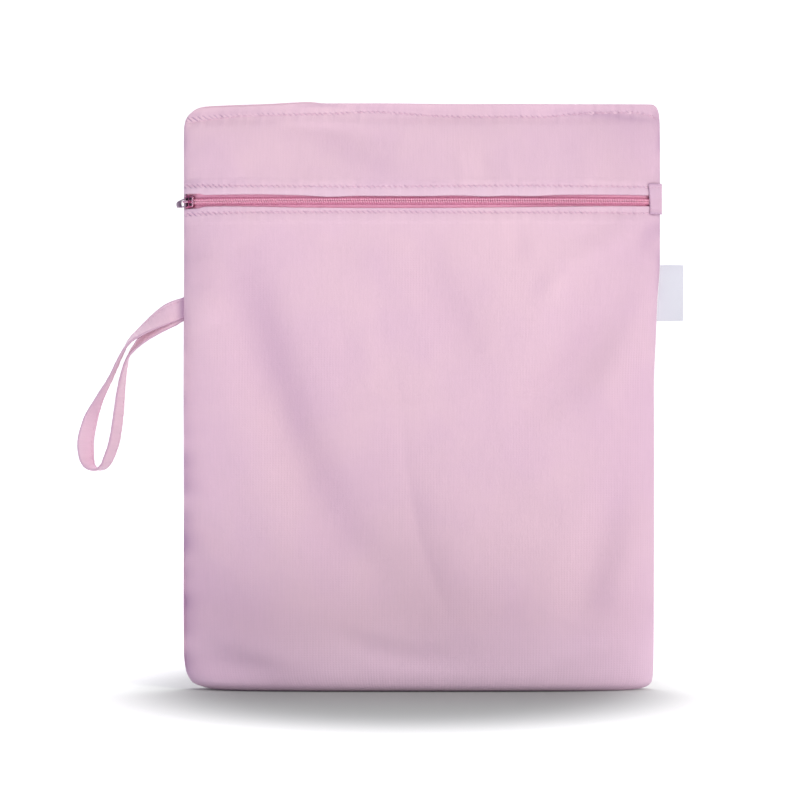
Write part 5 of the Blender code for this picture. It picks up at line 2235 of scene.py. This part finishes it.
@dataclass(frozen=True)
class StageFinish(Finish):
    """Pale paint of the floor and the backdrop, with a painted shadow round the bag and glow
    further out.
    """

    name: str = "stage_paint"
    shadow_painted_colour: Colour = (0.45, 0.48, 0.455, 1.0)
    far_colour: Colour = (0.72, 0.72, 0.72, 1.0)
    near_glow: float = 0.0
    far_glow: float = 0.62
    reach: Place = (0.245, 0.385)

    def build(self) -> bpy.types.Material:
        """Make the material."""
        material, board, shader, place = self.start(self.name)
        centred = board.add("ShaderNodeMapping", None, Vector=place["Object"],
                            Location=(0.04, 0.0, 0.0),
                            Scale=(1.0 / self.reach[0], 1.0 / self.reach[1], 0.0))
        away = board.add("ShaderNodeVectorMath", {"operation": "LENGTH"}, i0=centred.outputs[0])
        # Painted shadow round the bag: darker floor colour and no glow near it; further out the
        # floor glows though it is no lamp
        far = board.between(away.outputs["Value"], 0.35, 1.15, 0.0, 1.0)
        board.fill(shader, Roughness=0.9, Specular_IOR_Level=0.1, Emission_Strength=1.0,
                   Base_Color=board.mixed(far, self.shadow_painted_colour, self.far_colour),
                   Emission_Color=board.between(far, 0.0, 1.0, self.near_glow, self.far_glow))
        return material


@dataclass(frozen=True)
class SoftLight:
    """One large lamp: where it stands, what it looks at, its size and its power."""

    name: str
    place: Triple
    target: Triple
    size: float
    power: float
    colour: Triple = (1.0, 1.0, 1.0)

    def build(self) -> bpy.types.Object:
        """Make the lamp."""
        data = bpy.data.lights.new(self.name, "AREA")
        data.shape = "SQUARE"
        data.size = self.size
        data.energy = self.power
        data.color = self.colour
        lamp = linked(self.name, data)
        lamp.location = self.place
        way = Vector(self.target) - Vector(self.place)
        lamp.rotation_euler = way.to_track_quat("-Z", "Y").to_euler()
        return lamp


@dataclass
class Studio:
    """Pale curved floor, soft lamps and the camera straight in front of the bag."""

    distance: float = 2.3
    centre: Place = (-0.01365, 0.1973)
    frame_width: float = 0.5461
    sensor: float = 36.0
    lights: tuple[SoftLight, ...] = (
        SoftLight("key", (4.1, -4.7, 4.5), (0.0, 0.0, 0.2), 2.2, 195.0, (1.0, 0.975, 0.81)),
        SoftLight("fill", (-0.7, -2.9, 0.4), (0.0, 0.0, 0.1), 0.8, 6.0, (0.95, 0.93, 1.0)),
        SoftLight("top", (0.1, 0.7, 2.2), (0.0, 0.0, 0.0), 1.0, 21.0),
    )
    floor_front: float = -7.0
    floor_back: float = 3.0
    floor_half: float = 9.0
    turn_radius: float = 2.0
    wall_top: float = 8.0
    world_strength: float = 0.40
    world_colour: Colour = (0.93, 0.92, 1.13, 1.0)

    def build_camera(self) -> bpy.types.Object:
        """Make the camera and hand it to the scene."""
        data = bpy.data.cameras.new("camera")
        data.sensor_width = self.sensor
        data.lens = self.sensor * self.distance / self.frame_width
        data.clip_end = 50.0
        camera = linked("camera", data)
        camera.location = (self.centre[0], -self.distance, self.centre[1])
        camera.rotation_euler = (math.pi / 2, 0.0, 0.0)
        bpy.context.scene.camera = camera
        return camera

    def build_floor(self) -> bpy.types.Object:
        """Make the floor, which turns up softly into a backdrop far behind the bag."""
        finish = StageFinish().build()
        back, radius = self.floor_back, self.turn_radius
        profile = [(self.floor_front, 0.0), (back, 0.0)]
        profile += [(back + radius * math.sin(angle), radius - radius * math.cos(angle))
                    for angle in np.linspace(0.1, math.pi / 2, 16)]
        profile += [(back + radius, self.wall_top)]
        mesh = bmesh.new()
        rows = [[mesh.verts.new((x, y, z)) for x in (-self.floor_half, self.floor_half)]
                for y, z in profile]
        for before, after in zip(rows, rows[1:]):
            mesh.faces.new((before[0], before[1], after[1], after[0]))
        data = bpy.data.meshes.new("studio_floor")
        mesh.to_mesh(data)
        mesh.free()
        data.shade_smooth()
        data.materials.append(finish)
        floor = linked("studio_floor", data)
        return floor

    def build(self) -> None:
        """Make the whole studio."""
        self.build_camera()
        self.build_floor()
        for light in self.lights:
            light.build()
        world = bpy.data.worlds.new("studio_world")
        world.use_nodes = True
        background = world.node_tree.nodes["Background"]
        background.inputs["Color"].default_value = self.world_colour
        background.inputs["Strength"].default_value = self.world_strength
        scene = bpy.context.scene
        scene.world = world
        scene.view_settings.view_transform = "Standard"
        scene.view_settings.look = "None"


def main() -> None:
    """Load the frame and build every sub-assembly."""
    logging.basicConfig(level=logging.INFO, format="%(name)s: %(message)s")
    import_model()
    Studio().build()
    finishes = Finishes.make()
    FrontPanel(finishes).build()
    FrontBand(finishes).build()
    BackPanel(finishes).build()
    chain = ZipChain(finishes)
    chain.build()
    ZipSlider(finishes, chain.slider_frame()).build()
    ZipPull(finishes, chain.slider_frame()).build()
    EndTab(finishes).build()
    SideLabel(finishes).build()
    WristStrap(finishes).build()
    LOG.info("sizes written")


if __name__ == "__main__":
    main()
